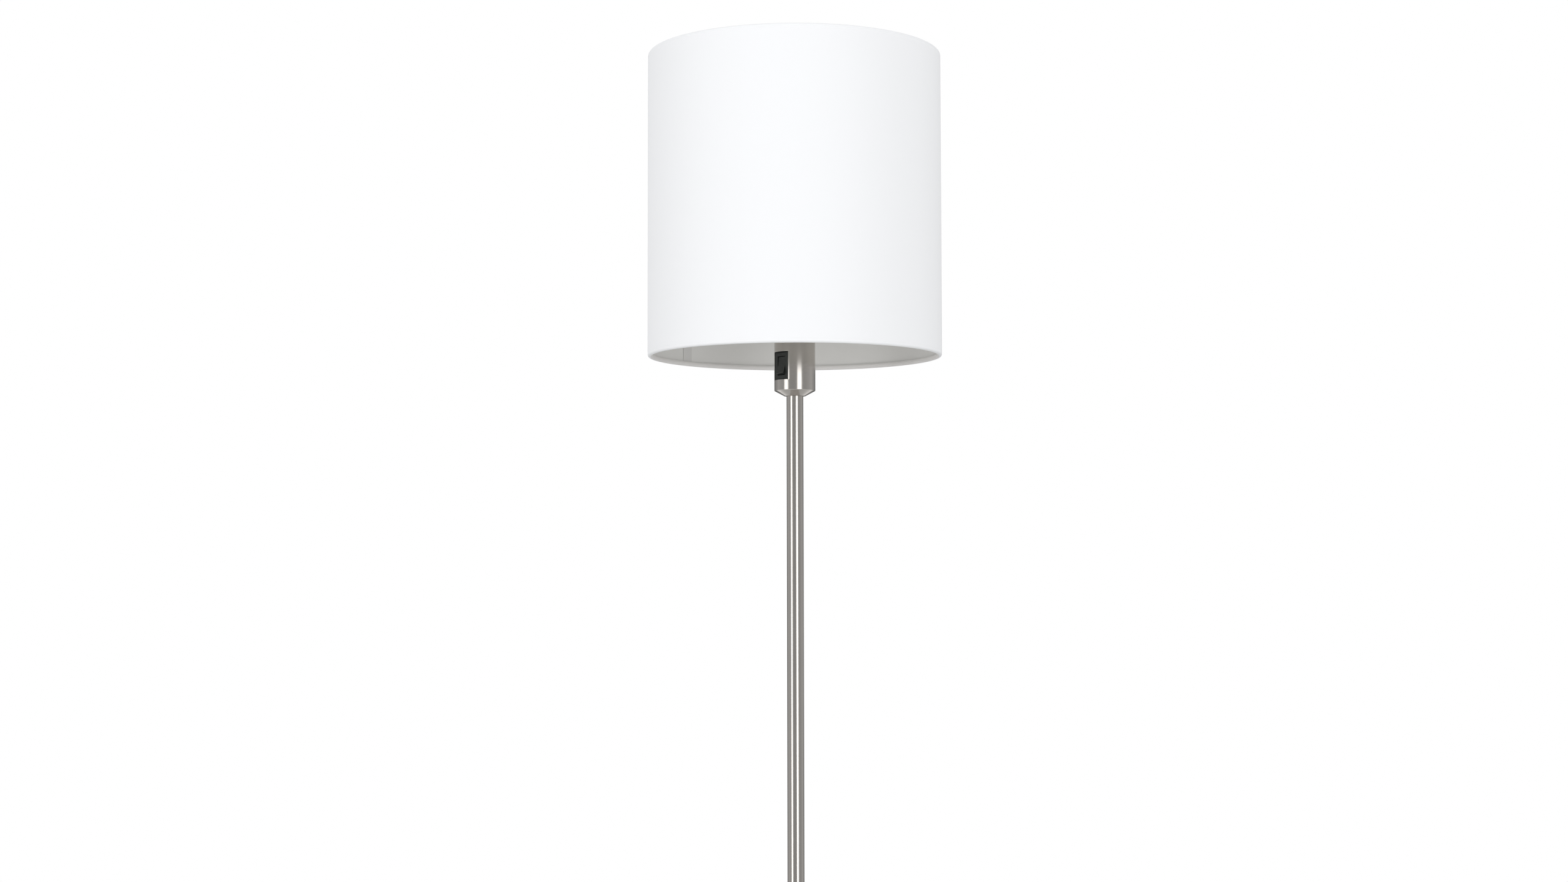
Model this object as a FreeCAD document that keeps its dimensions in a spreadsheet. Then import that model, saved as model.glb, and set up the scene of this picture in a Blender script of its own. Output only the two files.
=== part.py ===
import FreeCAD, Part
import math
import os
import re

import Sketcher
from FreeCAD import Placement, Rotation, Vector

# Column floor lamp: a drum shade on a wire carrier, a metal holder cup with a rocker switch, a two-piece column
# and a weighted round foot. Millimetres and degrees. Z is up and z = 0 is the floor. The column stands on the
# Z axis, and the switch faces -Y.

doc = FreeCAD.newDocument("column_floor_lamp")
sizes = doc.addObject("Spreadsheet::Sheet", "Sizes")
places = doc.addObject("Spreadsheet::Sheet", "Places")

# ---------------------------------------------------------------- driving sizes

DRIVING = {
    # whole lamp
    "total_height": 1500,
    # foot
    "base_diameter": 260,
    "base_height": 20,
    "cover_wall": 1.2,
    "cover_edge_radius": 5,
    "cover_lift": 1,
    "weight_clearance": 0.4,
    "pad_margin": 6,
    "pad_thickness": 2,
    "channel_width": 10,
    "channel_height": 10,
    "recess_diameter": 36,
    # cord inlet in the back of the foot
    "inlet_bore": 6.6,
    "inlet_neck": 9,
    "inlet_flange": 11.4,
    "inlet_flange_thickness": 1.6,
    "inlet_depth": 7,
    "inlet_clearance": 0.1,
    # column and its threaded joints
    "pole_diameter": 16,
    "pole_wall": 1.2,
    "thread_diameter": 10,
    "thread_bore": 8,
    "thread_clearance": 0.05,
    "insert_length": 14,
    "insert_clearance": 0.02,
    "nipple_recess": 1.5,
    "nut_width": 14,
    "nut_thickness": 3.5,
    "washer_diameter": 17,
    "washer_thickness": 1,
    # holder cup
    "cup_diameter": 39,
    "cup_wall": 1,
    "cup_drop": 37.2,
    "nose_angle": 28,
    "nose_diameter": 20,
    "cup_screw_diameter": 3,
    "cup_screw_head": 5.4,
    "cup_screw_head_height": 1.8,
    "cup_screw_length": 4,
    "cup_screw_drop": 16,
    "cup_screw_clearance": 0.1,
    # lamp holder
    "holder_clearance": 0.2,
    "holder_cap_height": 26,
    "holder_cap_wall": 1.5,
    "holder_cap_floor": 2,
    "holder_cap_step": 1.8,
    "wire_hole_diameter": 15,
    "skirt_height": 30,
    "skirt_wall": 2.3,
    "skirt_lip": 1.4,
    "skirt_lip_opening": 28.6,
    "core_gap": 0.2,
    "core_depth": 10,
    "socket_bore": 26.8,
    "collar_gap": 0.7,
    "contact_sheet": 0.5,
    "centre_contact_width": 5,
    "side_contact_width": 4,
    "side_contact_foot": 4,
    "terminal_screw_diameter": 4,
    "terminal_screw_length": 6,
    "terminal_spacing": 18,
    "terminal_setback": 5,
    # threaded rings that hold the shade
    "shade_ring_diameter": 54,
    "shade_ring_hub": 44,
    "shade_ring_flange": 2.5,
    "shade_ring_height": 4,
    "shade_ring_clearance": 0.1,
    "grip_notch": 1.6,
    "grip_count": 24,
    # shade
    "shade_diameter": 280,
    "shade_height": 290,
    "fabric_thickness": 0.4,
    "liner_thickness": 0.5,
    "frame_wire": 3,
    "wire_play": 0.4,
    "glue_gap": 0.1,
    "seam_width": 12,
    "seam_angle": 50,
    "shade_angle": 137.5,
    "carrier_recess": 50,
    "carrier_bore": 41,
    "carrier_diameter": 62,
    "carrier_thickness": 1.5,
    "arm_count": 3,
    "arm_bend": 12,
    "arm_inset": 2.8,
    "arm_notch_gap": 1,
    # lamp bulb
    "bulb_shell_diameter": 26.1,
    "bulb_shell_height": 20,
    "bulb_shell_wall": 0.4,
    "bulb_shell_taper": 1,
    "bulb_insulator_height": 2.5,
    "bulb_insulator_diameter": 13,
    "bulb_button_diameter": 9,
    "bulb_button_height": 1,
    "bulb_collar_height": 30,
    "bulb_collar_foot": 28,
    "bulb_collar_wall": 1.6,
    "bulb_collar_skirt": 3,
    "globe_diameter": 60,
    "globe_mouth": 50,
    "globe_wall": 1.5,
    "bulb_length": 108,
    # rocker switch
    "switch_drop": 9,
    "bezel_height": 26.6,
    "bezel_width": 20,
    "bezel_gap": 0.1,
    "bezel_depth": 2.6,
    "bezel_edge": 0.6,
    "shoulder_overlap": 1.2,
    "shoulder_width": 18,
    "shoulder_depth": 1.2,
    "shoulder_gap": 0.25,
    "case_wall": 1.1,
    "case_floor": 1.2,
    "rocker_width": 10.5,
    "rocker_reach": 8.8,
    "rocker_gap": 0.18,
    "rocker_tilt_angle": 11,
    "rocker_slope_angle": 8,
    "rocker_sink": 0.3,
    "rocker_wall": 1.2,
    "rocker_skirt": 1,
    "pivot_depth": 3.2,
    "pivot_diameter": 2.4,
    "pivot_length": 0.9,
    "pivot_clearance": 0.05,
    "plunger_diameter": 2.4,
    "plunger_centre": 4.4,
    "plunger_length": 2.2,
    "plunger_clearance": 0.1,
    "boss_wall": 1,
    "boss_reach": 3,
    "spring_diameter": 1.9,
    "spring_wire": 0.3,
    "spring_clearance": 0.05,
    "spring_turns": 4,
    "fulcrum_depth": 6,
    "contact_ratio": 0.8,
    "contact_length": 12,
    "contact_width": 3,
    "contact_thickness": 0.6,
    "contact_gap": 0.1,
    "fulcrum_rib": 1.4,
    "load_offset": 5.2,
    "floor_gap": 2.2,
    "terminal_width": 4.8,
    "terminal_thickness": 0.8,
    "terminal_clearance": 0.02,
    "terminal_tail": 6,
    # wiring
    "lead_diameter": 5.4,
    "lead_bend": 8,
    "lead_stub": 10,
    "core_wire_diameter": 2.2,
    # how far a cutting shape runs past the piece it cuts
    "overcut": 1,
}

# Heights and radii that follow from the driving sizes, from the floor up.
DERIVED = {
    "cover_radius": "base_diameter / 2",
    "pad_radius": "cover_radius - pad_margin",
    "weight_top": "base_height - cover_wall",
    "weight_radius": "cover_radius - cover_wall - weight_clearance",
    "channel_top": "pad_thickness + channel_height",
    "inlet_height": "pad_thickness + channel_height / 2",
    "nipple_foot": "channel_top + nipple_recess / 2",
    "pole_radius": "pole_diameter / 2",
    "pole_bore_radius": "pole_radius - pole_wall",
    "thread_radius": "thread_diameter / 2",
    "shade_bottom": "total_height - shade_height",
    "cup_bottom": "shade_bottom - cup_drop",
    "cup_radius": "cup_diameter / 2",
    "cup_bore_radius": "cup_radius - cup_wall",
    "cup_floor": "cup_bottom + cup_wall",
    "cup_shoulder": "cup_bottom + (cup_radius - nose_diameter / 2) * tan(nose_angle)",
    "pole_joint": "(base_height + cup_bottom) / 2",
    "carrier_bottom": "shade_bottom + carrier_recess",
    "cup_top": "carrier_bottom - shade_ring_height",
    "holder_cap_radius": "cup_bore_radius - holder_clearance",
    "holder_cap_bottom": "cup_top - holder_cap_height",
    "core_radius": "holder_cap_radius - holder_cap_wall - core_gap",
    "core_bottom": "cup_top - core_depth",
    "skirt_top": "cup_top + skirt_height",
    "core_top": "skirt_top - skirt_lip - core_gap",
    "bulb_shell_foot": "core_top + collar_gap - bulb_shell_height",
    "bulb_insulator_foot": "bulb_shell_foot - bulb_insulator_height",
    "bulb_foot": "bulb_insulator_foot - bulb_button_height",
    "socket_floor": "bulb_foot - contact_gap - 3 * contact_sheet",
    "bulb_collar_bottom": "bulb_shell_foot + bulb_shell_height",
    "bulb_collar_top": "bulb_collar_bottom + bulb_collar_height",
    "globe_centre": "bulb_foot + bulb_length - globe_diameter / 2",
    "fabric_radius": "shade_diameter / 2",
    "liner_radius": "fabric_radius - fabric_thickness",
    "liner_bore_radius": "liner_radius - liner_thickness",
    "wire_radius": "frame_wire / 2",
    "ring_radius": "liner_bore_radius - wire_play - wire_radius",
    "hem_radius": "wire_radius + wire_play + fabric_thickness",
    "edge_radius": "fabric_radius - ring_radius",
    "arm_radius": "ring_radius - frame_wire",
    "arm_height": "carrier_bottom - wire_radius",
    "switch_height": "shade_bottom - switch_drop",
    "bezel_face": "sqrt(cup_radius ^ 2 - (bezel_width / 2) ^ 2)",
    "case_back": "bezel_face - pivot_depth - fulcrum_depth - floor_gap",
    "pivot_face": "bezel_face - pivot_depth",
    "fulcrum_face": "pivot_face - fulcrum_depth",
    "rocker_crown": "pivot_depth - rocker_sink",
    "shoulder_face": "sqrt(cup_bore_radius ^ 2 - (shoulder_width / 2) ^ 2) - shoulder_gap",
}

full_names = {name: "Sizes." + name for name in DRIVING}
full_names.update({name: "Places." + name for name in DERIVED})


def full(formula):
    """The formula with each size named as the sheets know it."""
    return re.sub(r"[a-z_]+", lambda word: full_names.get(word.group(), word.group()), str(formula))


def fill_sheet(sheet, rows):
    for row, (name, content) in enumerate(rows.items(), start=1):
        sheet.set(f"A{row}", name)
        sheet.set(f"B{row}", str(content))
        sheet.setAlias(f"B{row}", name)


fill_sheet(sizes, DRIVING)
doc.recompute()
fill_sheet(places, {name: "=" + full(formula).replace("Places.", "") for name, formula in DERIVED.items()})
doc.recompute()


def number(formula):
    """The formula's value now, worked out in a spare cell."""
    places.set("D1", "=" + full(formula).replace("Places.", ""))
    places.recompute()
    return float(places.get("D1"))


# ---------------------------------------------------------------- ways of making a piece

sub_parts = []
MEETING = 1e-6  # two points nearer than this are one


def keep(piece, label):
    """Marks a finished sub-part, under the name of its file."""
    piece.Label = label
    sub_parts.append(piece)
    return piece


def place(piece, x=None, y=None, z=None):
    """Binds a piece's position to formulas."""
    for axis, formula in (("x", x), ("y", y), ("z", z)):
        if formula is not None:
            piece.setExpression("Placement.Base." + axis, full(formula))
    return piece


def turned_about(piece, axis, angle):
    """Binds a piece's turn about an axis to a formula."""
    piece.Placement = Placement(piece.Placement.Base, Rotation(axis, 90))
    piece.setExpression("Placement.Rotation.Angle", full(angle))
    return piece


def plane(body, role):
    return next(feature for feature in body.Origin.OriginFeatures if feature.Role == role)


def new_sketch(body, role, lift=None):
    sketch = body.newObject("Sketcher::SketchObject", "sketch")
    sketch.AttachmentSupport = [(plane(body, role), "")]
    sketch.MapMode = "FlatFace"
    if lift is not None:
        sketch.setExpression("AttachmentOffset.Base.z", full(lift))
    return sketch


def bind_coordinate(sketch, edge, end, kind, formula):
    """Holds one coordinate of a sketch point at a formula's value."""
    if formula == "0":
        sketch.addConstraint(Sketcher.Constraint("PointOnObject", edge, end, -2 if kind == "DistanceX" else -1))
        return
    constraint = Sketcher.Constraint(kind, -1, 1, edge, end, number(formula))
    index = sketch.addConstraint(constraint)
    sketch.setExpression(f"Constraints[{index}]", full(formula))


def outline(sketch, start, steps, closed=True):
    """Draws from start through the steps. A step is (x, y) for a line, or (x, y, centre x, centre y, way) for
    an arc, where way is 'left' or 'right' as one goes along it."""
    corners = [start] + [step[:2] for step in steps]
    points = [Vector(number(x), number(y), 0) for x, y in corners]
    starts = []
    for step, a, b in zip(steps, points, points[1:]):
        if len(step) == 2:
            edge = sketch.addGeometry(Part.LineSegment(a, b))
            starts.append((edge, 1, 2))
            continue
        centre = Vector(number(step[2]), number(step[3]), 0)
        angle_a, angle_b = (math.atan2(p.y - centre.y, p.x - centre.x) for p in (a, b))
        circle = Part.Circle(centre, Vector(0, 0, 1), (a - centre).Length)
        if step[4] == "left":
            edge = sketch.addGeometry(Part.ArcOfCircle(circle, angle_a, angle_b))
            starts.append((edge, 1, 2))
        else:
            edge = sketch.addGeometry(Part.ArcOfCircle(circle, angle_b, angle_a))
            starts.append((edge, 2, 1))
    for this, after in zip(starts, starts[1:]):
        sketch.addConstraint(Sketcher.Constraint("Coincident", this[0], this[2], after[0], after[1]))
    if closed:
        last, first = starts[-1], starts[0]
        sketch.addConstraint(Sketcher.Constraint("Coincident", last[0], last[2], first[0], first[1]))
    for (edge, head, _), (x, y) in zip(starts, corners):
        bind_coordinate(sketch, edge, head, "DistanceX", x)
        bind_coordinate(sketch, edge, head, "DistanceY", y)
    if not closed:
        bind_coordinate(sketch, starts[-1][0], starts[-1][2], "DistanceX", corners[-1][0])
        bind_coordinate(sketch, starts[-1][0], starts[-1][2], "DistanceY", corners[-1][1])
    for (edge, _, _), step, a, b in zip(starts, steps, points, points[1:]):
        if len(step) == 5:
            level = abs(a.y - b.y) < abs(a.x - b.x)
            kind, formula = ("DistanceY", step[3]) if level else ("DistanceX", step[2])
            bind_coordinate(sketch, edge, 3, kind, formula)


def circle_in(sketch, diameter, x="0", y="0"):
    centre = Vector(number(x), number(y), 0)
    edge = sketch.addGeometry(Part.Circle(centre, Vector(0, 0, 1), number(diameter) / 2))
    index = sketch.addConstraint(Sketcher.Constraint("Diameter", edge, number(diameter)))
    sketch.setExpression(f"Constraints[{index}]", full(diameter))
    bind_coordinate(sketch, edge, 3, "DistanceX", x)
    bind_coordinate(sketch, edge, 3, "DistanceY", y)


def revolved(start, *steps):
    """A body turned about Z from an outline of (radius, height) corners."""
    body = doc.addObject("PartDesign::Body", "turned")
    sketch = new_sketch(body, "XZ_Plane")
    outline(sketch, start, steps + (start,) if steps[-1][:2] != start else steps)
    turn = body.newObject("PartDesign::Revolution", "revolution")
    turn.Profile = sketch
    turn.ReferenceAxis = (sketch, ["V_Axis"])
    turn.Angle = 360
    return body


def collar(inner, outer, low, high):
    """A plain round sleeve or, with no inner radius, a disc."""
    return revolved((inner, low), (outer, low), (outer, high), (inner, high))


def padded(role, length, start, *steps, lift=None, middle=False):
    """A body extruded from an outline on one of the origin planes."""
    body = doc.addObject("PartDesign::Body", "padded")
    sketch = new_sketch(body, role, lift)
    outline(sketch, start, steps + (start,))
    pad = body.newObject("PartDesign::Pad", "pad")
    pad.Profile = sketch
    pad.Midplane = middle
    pad.setExpression("Length", full(length))
    return body


def bent_rod(diameter, start, *steps):
    """A body of a round wire that leaves its start along Z and follows an open outline in the XZ plane."""
    body = doc.addObject("PartDesign::Body", "bent_rod")
    spine = new_sketch(body, "XZ_Plane")
    outline(spine, start, steps, closed=False)
    section = new_sketch(body, "XY_Plane", lift=start[1])
    circle_in(section, diameter, x=start[0])
    pipe = body.newObject("PartDesign::AdditivePipe", "pipe")
    pipe.Profile = section
    pipe.Spine = (spine, [f"Edge{step + 1}" for step in range(len(steps))])
    return body


def wire_along(label, corners, diameter, arc_share=0.45):
    """A round wire along straight runs joined by arcs, each of which takes this share of its two runs."""
    runs = [b - a for a, b in zip(corners, corners[1:])]
    edges = []
    radii = []
    start = corners[0]
    for corner, before, after in zip(corners[1:-1], runs, runs[1:]):
        half_turn = before.getAngle(after) / 2
        reach = arc_share * min(before.Length, after.Length)
        radius = reach / math.tan(half_turn)
        radii.append(round(radius, 1))
        into = corner - Vector(before).normalize() * reach
        out_of = corner + Vector(after).normalize() * reach
        inward = ((into + out_of) * 0.5 - corner).normalize()
        middle = corner + inward * (radius / math.cos(half_turn) - radius)
        if (into - start).Length > MEETING:
            edges.append(Part.LineSegment(start, into).toShape())
        edges.append(Part.Arc(into, middle, out_of).toShape())
        start = out_of
    edges.append(Part.LineSegment(start, corners[-1]).toShape())
    path = Part.Wire(edges)
    section = Part.Wire(Part.makeCircle(diameter / 2, corners[0], runs[0]))
    wire = doc.addObject("Part::Feature", "wire")
    wire.Shape = path.makePipeShell([section], True, False)
    expected = math.pi * diameter ** 2 / 4 * path.Length
    print(f"{label}: arc radii {min(radii)} to {max(radii)}, volume {wire.Shape.Volume / expected:.4f} of its run")
    return wire


def block(x, y, z):
    """A box between pairs of formulas."""
    box = doc.addObject("Part::Box", "block")
    for side, (low, high) in (("Length", x), ("Width", y), ("Height", z)):
        box.setExpression(side, full(f"({high}) - ({low})"))
    return place(box, x[0], y[0], z[0])


def cylinder(diameter, length, x=None, y=None, z=None, along="Z"):
    rod = doc.addObject("Part::Cylinder", "cylinder")
    rod.setExpression("Radius", full(f"({diameter}) / 2"))
    rod.setExpression("Height", full(length))
    turns = {"X": Rotation(Vector(0, 1, 0), 90), "Y": Rotation(Vector(1, 0, 0), -90), "Z": Rotation()}
    rod.Placement = Placement(Vector(), turns[along])
    return place(rod, x, y, z)


def joined(*pieces):
    fuse = doc.addObject("Part::MultiFuse", "joined")
    fuse.Shapes = list(pieces)
    return fuse


def cut(base, *tools):
    result = doc.addObject("Part::Cut", "cut")
    result.Base = base
    result.Tool = tools[0] if len(tools) == 1 else joined(*tools)
    return result


def group(*pieces):
    """Separate solids that share one name."""
    compound = doc.addObject("Part::Compound", "group")
    compound.Links = list(pieces)
    return compound


# ---------------------------------------------------------------- foot


def make_foot():
    keep(collar("0", "pad_radius", "0", "pad_thickness"), "base_pad")

    weight = revolved(
        ("0", "pad_thickness"),
        ("weight_radius", "pad_thickness"),
        ("weight_radius", "weight_top - cover_edge_radius"),
        ("weight_radius - cover_edge_radius", "weight_top", "weight_radius - cover_edge_radius",
         "weight_top - cover_edge_radius", "left"),
        ("0", "weight_top"),
    )
    recess = cylinder("recess_diameter", "channel_height", z="pad_thickness")
    channel = block(
        ("-channel_width / 2", "channel_width / 2"),
        ("0", "cover_radius"),
        ("pad_thickness", "channel_top"),
    )
    tapped_hole = cylinder("thread_diameter + 2 * thread_clearance", "base_height")
    keep(cut(weight, recess, channel, tapped_hole), "base_weight")

    inner_edge = "cover_edge_radius - cover_wall"
    cover = revolved(
        ("thread_radius + thread_clearance", "base_height"),
        ("thread_radius + thread_clearance", "weight_top"),
        ("cover_radius - cover_edge_radius", "weight_top"),
        ("cover_radius - cover_wall", "base_height - cover_edge_radius", "cover_radius - cover_edge_radius",
         "base_height - cover_edge_radius", "right"),
        ("cover_radius - cover_wall", "cover_lift"),
        ("cover_radius", "cover_lift"),
        ("cover_radius", "base_height - cover_edge_radius"),
        ("cover_radius - cover_edge_radius", "base_height", "cover_radius - cover_edge_radius",
         "base_height - cover_edge_radius", "left"),
    )
    inlet_hole = cylinder(
        "inlet_neck + 2 * inlet_clearance", "cover_wall * 4", y="cover_radius - cover_wall * 3",
        z="inlet_height", along="Y",
    )
    keep(cut(cover, inlet_hole), "base_cover")

    # the cord inlet: turned upright, then laid along +Y in the back of the cover
    inlet = revolved(
        ("inlet_bore / 2", "0"),
        ("inlet_neck / 2", "0"),
        ("inlet_neck / 2", "inlet_depth"),
        ("inlet_flange / 2", "inlet_depth"),
        ("inlet_flange / 2", "inlet_depth + inlet_flange_thickness / 2"),
        ("inlet_flange / 2 - inlet_flange_thickness / 2", "inlet_depth + inlet_flange_thickness"),
        ("inlet_bore / 2", "inlet_depth + inlet_flange_thickness"),
    )
    inlet.Placement = Placement(Vector(), Rotation(Vector(1, 0, 0), -90))
    keep(place(inlet, y="cover_radius - inlet_depth", z="inlet_height"), "cord_inlet_bush")


# ---------------------------------------------------------------- column


def nipple(label, low, high):
    """A hollow threaded stud."""
    keep(collar("thread_bore / 2", "thread_radius", low, high), label)


def insert(label, low):
    """A threaded bush pressed into a tube's end."""
    piece = revolved(
        ("thread_radius + thread_clearance", low),
        ("pole_bore_radius - insert_clearance", low),
        ("pole_bore_radius - insert_clearance", f"{low} + insert_length"),
        ("thread_radius + thread_clearance", f"{low} + insert_length"),
    )
    keep(piece, label)


def make_column():
    keep(collar("pole_bore_radius", "pole_radius", "base_height", "pole_joint"), "pole_lower")
    keep(collar("pole_bore_radius", "pole_radius", "pole_joint", "cup_bottom"), "pole_upper")
    insert("pole_foot_insert", "base_height")
    insert("pole_lower_insert", "(pole_joint - insert_length)")
    insert("pole_upper_insert", "pole_joint")
    insert("pole_head_insert", "(cup_bottom - insert_length)")
    reach = "insert_length - nipple_recess"
    nipple("foot_nipple", "nipple_foot", f"base_height + {reach}")
    nipple("joint_nipple", f"pole_joint - ({reach})", f"pole_joint + {reach}")
    nut_top = "cup_floor + washer_thickness + nut_thickness"
    nipple("head_nipple", f"cup_bottom - ({reach})", f"{nut_top} + nipple_recess")
    keep(
        collar("thread_radius + thread_clearance", "washer_diameter / 2", "cup_floor",
               "cup_floor + washer_thickness"),
        "head_washer",
    )
    hexagon = doc.addObject("Part::Prism", "hexagon")
    hexagon.Polygon = 6
    hexagon.setExpression("Circumradius", full("nut_width / sqrt(3)"))
    hexagon.setExpression("Height", full("nut_thickness"))
    place(hexagon, z="cup_floor + washer_thickness")
    tapped = cylinder("thread_diameter + 2 * thread_clearance", "nut_thickness",
                      z="cup_floor + washer_thickness")
    keep(cut(hexagon, tapped), "head_nut")


# ---------------------------------------------------------------- holder cup and lamp holder


def make_cup():
    # the cone's inner faces lie one wall inside the outer ones, so their corners move by a part of the wall
    cup = revolved(
        ("thread_radius + thread_clearance", "cup_bottom"),
        ("nose_diameter / 2", "cup_bottom"),
        ("cup_radius", "cup_shoulder"),
        ("cup_radius", "cup_top"),
        ("cup_bore_radius", "cup_top"),
        ("cup_bore_radius", "cup_shoulder + cup_wall * tan(45 - nose_angle / 2)"),
        ("nose_diameter / 2 - cup_wall * tan(nose_angle / 2)", "cup_floor"),
        ("thread_radius + thread_clearance", "cup_floor"),
    )
    window = block(
        ("-bezel_width / 2", "bezel_width / 2"),
        ("-cup_radius - cup_wall", "-bezel_face + bezel_depth"),
        ("switch_height - bezel_height / 2", "switch_height + bezel_height / 2"),
    )
    screw_holes = cylinder(
        "cup_screw_diameter + 2 * cup_screw_clearance", "cup_diameter + 2 * cup_wall",
        x="-cup_radius - cup_wall", z="cup_top - cup_screw_drop", along="X",
    )
    keep(cut(cup, window, screw_holes), "holder_cup")


def cup_screw(side):
    """A pan-head screw along the X axis, with its head outside the cup. side is 1 or -1."""
    seat = "(cup_radius + thread_clearance)"
    screw = revolved(
        ("0", f"{seat} - cup_screw_length"),
        ("cup_screw_diameter / 2", f"{seat} - cup_screw_length"),
        ("cup_screw_diameter / 2", seat),
        ("cup_screw_head / 2", seat),
        ("cup_screw_head / 2", f"{seat} + cup_screw_head_height / 2"),
        ("cup_screw_head / 2 - cup_screw_head_height / 2", f"{seat} + cup_screw_head_height"),
        ("0", f"{seat} + cup_screw_head_height"),
    )
    screw.Placement = Placement(Vector(), Rotation(Vector(0, 1, 0), 90 * side))
    return place(screw, z="cup_top - cup_screw_drop")


def shade_ring(label, flange_low, hub_low):
    """A threaded ring with a flange that bears on the shade carrier and a knurled rim."""
    body = collar("cup_radius + shade_ring_clearance", "shade_ring_hub / 2", hub_low,
                  f"{hub_low} + shade_ring_height")
    flange = collar("cup_radius + shade_ring_clearance", "shade_ring_diameter / 2", flange_low,
                    f"{flange_low} + shade_ring_flange")
    notches = []
    for step in range(int(number("grip_count"))):
        notch = cylinder("grip_notch", "shade_ring_height * 2", z=f"{hub_low} - shade_ring_height / 2")
        angle = f"{step} * 360 / grip_count"
        place(notch, x=f"shade_ring_diameter / 2 * cos({angle})", y=f"shade_ring_diameter / 2 * sin({angle})")
        notches.append(notch)
    keep(cut(joined(body, flange), *notches), label)


def make_holder():
    cap_bore = "holder_cap_radius - holder_cap_wall"
    cap = revolved(
        ("wire_hole_diameter / 2", "holder_cap_bottom"),
        ("holder_cap_radius - holder_cap_wall", "holder_cap_bottom"),
        ("holder_cap_radius", "holder_cap_bottom + holder_cap_wall"),
        ("holder_cap_radius", "cup_top - core_gap"),
        (cap_bore, "cup_top - core_gap"),
        (cap_bore, "core_bottom - core_gap"),
        (f"{cap_bore} - holder_cap_step", "core_bottom - core_gap"),
        (f"{cap_bore} - holder_cap_step", "holder_cap_bottom + holder_cap_floor"),
        ("wire_hole_diameter / 2", "holder_cap_bottom + holder_cap_floor"),
    )
    # the screws bite into the cap's wall
    pilot = cylinder(
        "cup_screw_diameter + 2 * thread_clearance", "2 * cup_radius", x="-cup_radius",
        z="cup_top - cup_screw_drop", along="X",
    )
    keep(cut(cap, pilot), "holder_cap")
    keep(group(cup_screw(1), cup_screw(-1)), "cup_screws")

    skirt = revolved(
        ("cup_radius - skirt_wall", "cup_top"),
        ("cup_radius", "cup_top"),
        ("cup_radius", "skirt_top - skirt_lip"),
        ("cup_radius - skirt_lip", "skirt_top"),
        ("skirt_lip_opening / 2", "skirt_top"),
        ("skirt_lip_opening / 2", "skirt_top - skirt_lip"),
        ("cup_radius - skirt_wall", "skirt_top - skirt_lip"),
    )
    keep(skirt, "holder_skirt")

    core = revolved(
        ("0", "core_bottom"),
        ("core_radius", "core_bottom"),
        ("core_radius", "core_top"),
        ("socket_bore / 2", "core_top"),
        ("socket_bore / 2", "socket_floor"),
        ("0", "socket_floor"),
    )
    screw_holes = [
        cylinder("terminal_screw_diameter + 2 * thread_clearance", "terminal_screw_length / 2 + overcut",
                 x=f"{side} * terminal_spacing / 2", y="terminal_setback", z="core_bottom - overcut")
        for side in (-1, 1)
    ]
    keep(cut(core, *screw_holes), "holder_core")

    terminal_screws = [
        cylinder("terminal_screw_diameter", "terminal_screw_length", x=f"{side} * terminal_spacing / 2",
                 y="terminal_setback", z="core_bottom - terminal_screw_length / 2")
        for side in (-1, 1)
    ]
    keep(group(*terminal_screws), "terminal_screws")

    # centre contact: a strip that lies on the socket floor and is raised under the bulb's button
    centre = padded(
        "XZ_Plane", "centre_contact_width",
        ("-socket_bore / 4 - 2 * contact_sheet", "socket_floor"),
        ("-socket_bore / 8", "socket_floor"),
        ("-socket_bore / 8 + 2 * contact_sheet", "socket_floor + 2 * contact_sheet"),
        ("socket_bore / 8", "socket_floor + 2 * contact_sheet"),
        ("socket_bore / 8", "socket_floor + 3 * contact_sheet"),
        ("-socket_bore / 8 + contact_sheet", "socket_floor + 3 * contact_sheet"),
        ("-socket_bore / 8 - contact_sheet", "socket_floor + contact_sheet"),
        ("-socket_bore / 4 - 2 * contact_sheet", "socket_floor + contact_sheet"),
        middle=True,
    )
    keep(centre, "centre_contact")

    # side contact: an angle whose upright leg meets the foot of the bulb's shell
    leg = "(bulb_shell_diameter - contact_sheet) / 2 - bulb_shell_wall"
    side = padded(
        "XZ_Plane", "side_contact_width",
        (f"{leg} - side_contact_foot", "socket_floor"),
        (leg, "socket_floor"),
        (leg, "bulb_shell_foot - contact_gap"),
        (f"{leg} - contact_sheet", "bulb_shell_foot - contact_gap"),
        (f"{leg} - contact_sheet", "socket_floor + contact_sheet"),
        (f"{leg} - side_contact_foot", "socket_floor + contact_sheet"),
        middle=True,
    )
    keep(side, "side_contact")

    shade_ring("shade_seat_ring", "carrier_bottom - shade_ring_flange", "carrier_bottom - shade_ring_height")
    clamp_low = "(carrier_bottom + carrier_thickness)"
    shade_ring("shade_clamp_ring", clamp_low, clamp_low)


# ---------------------------------------------------------------- bulb


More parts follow.
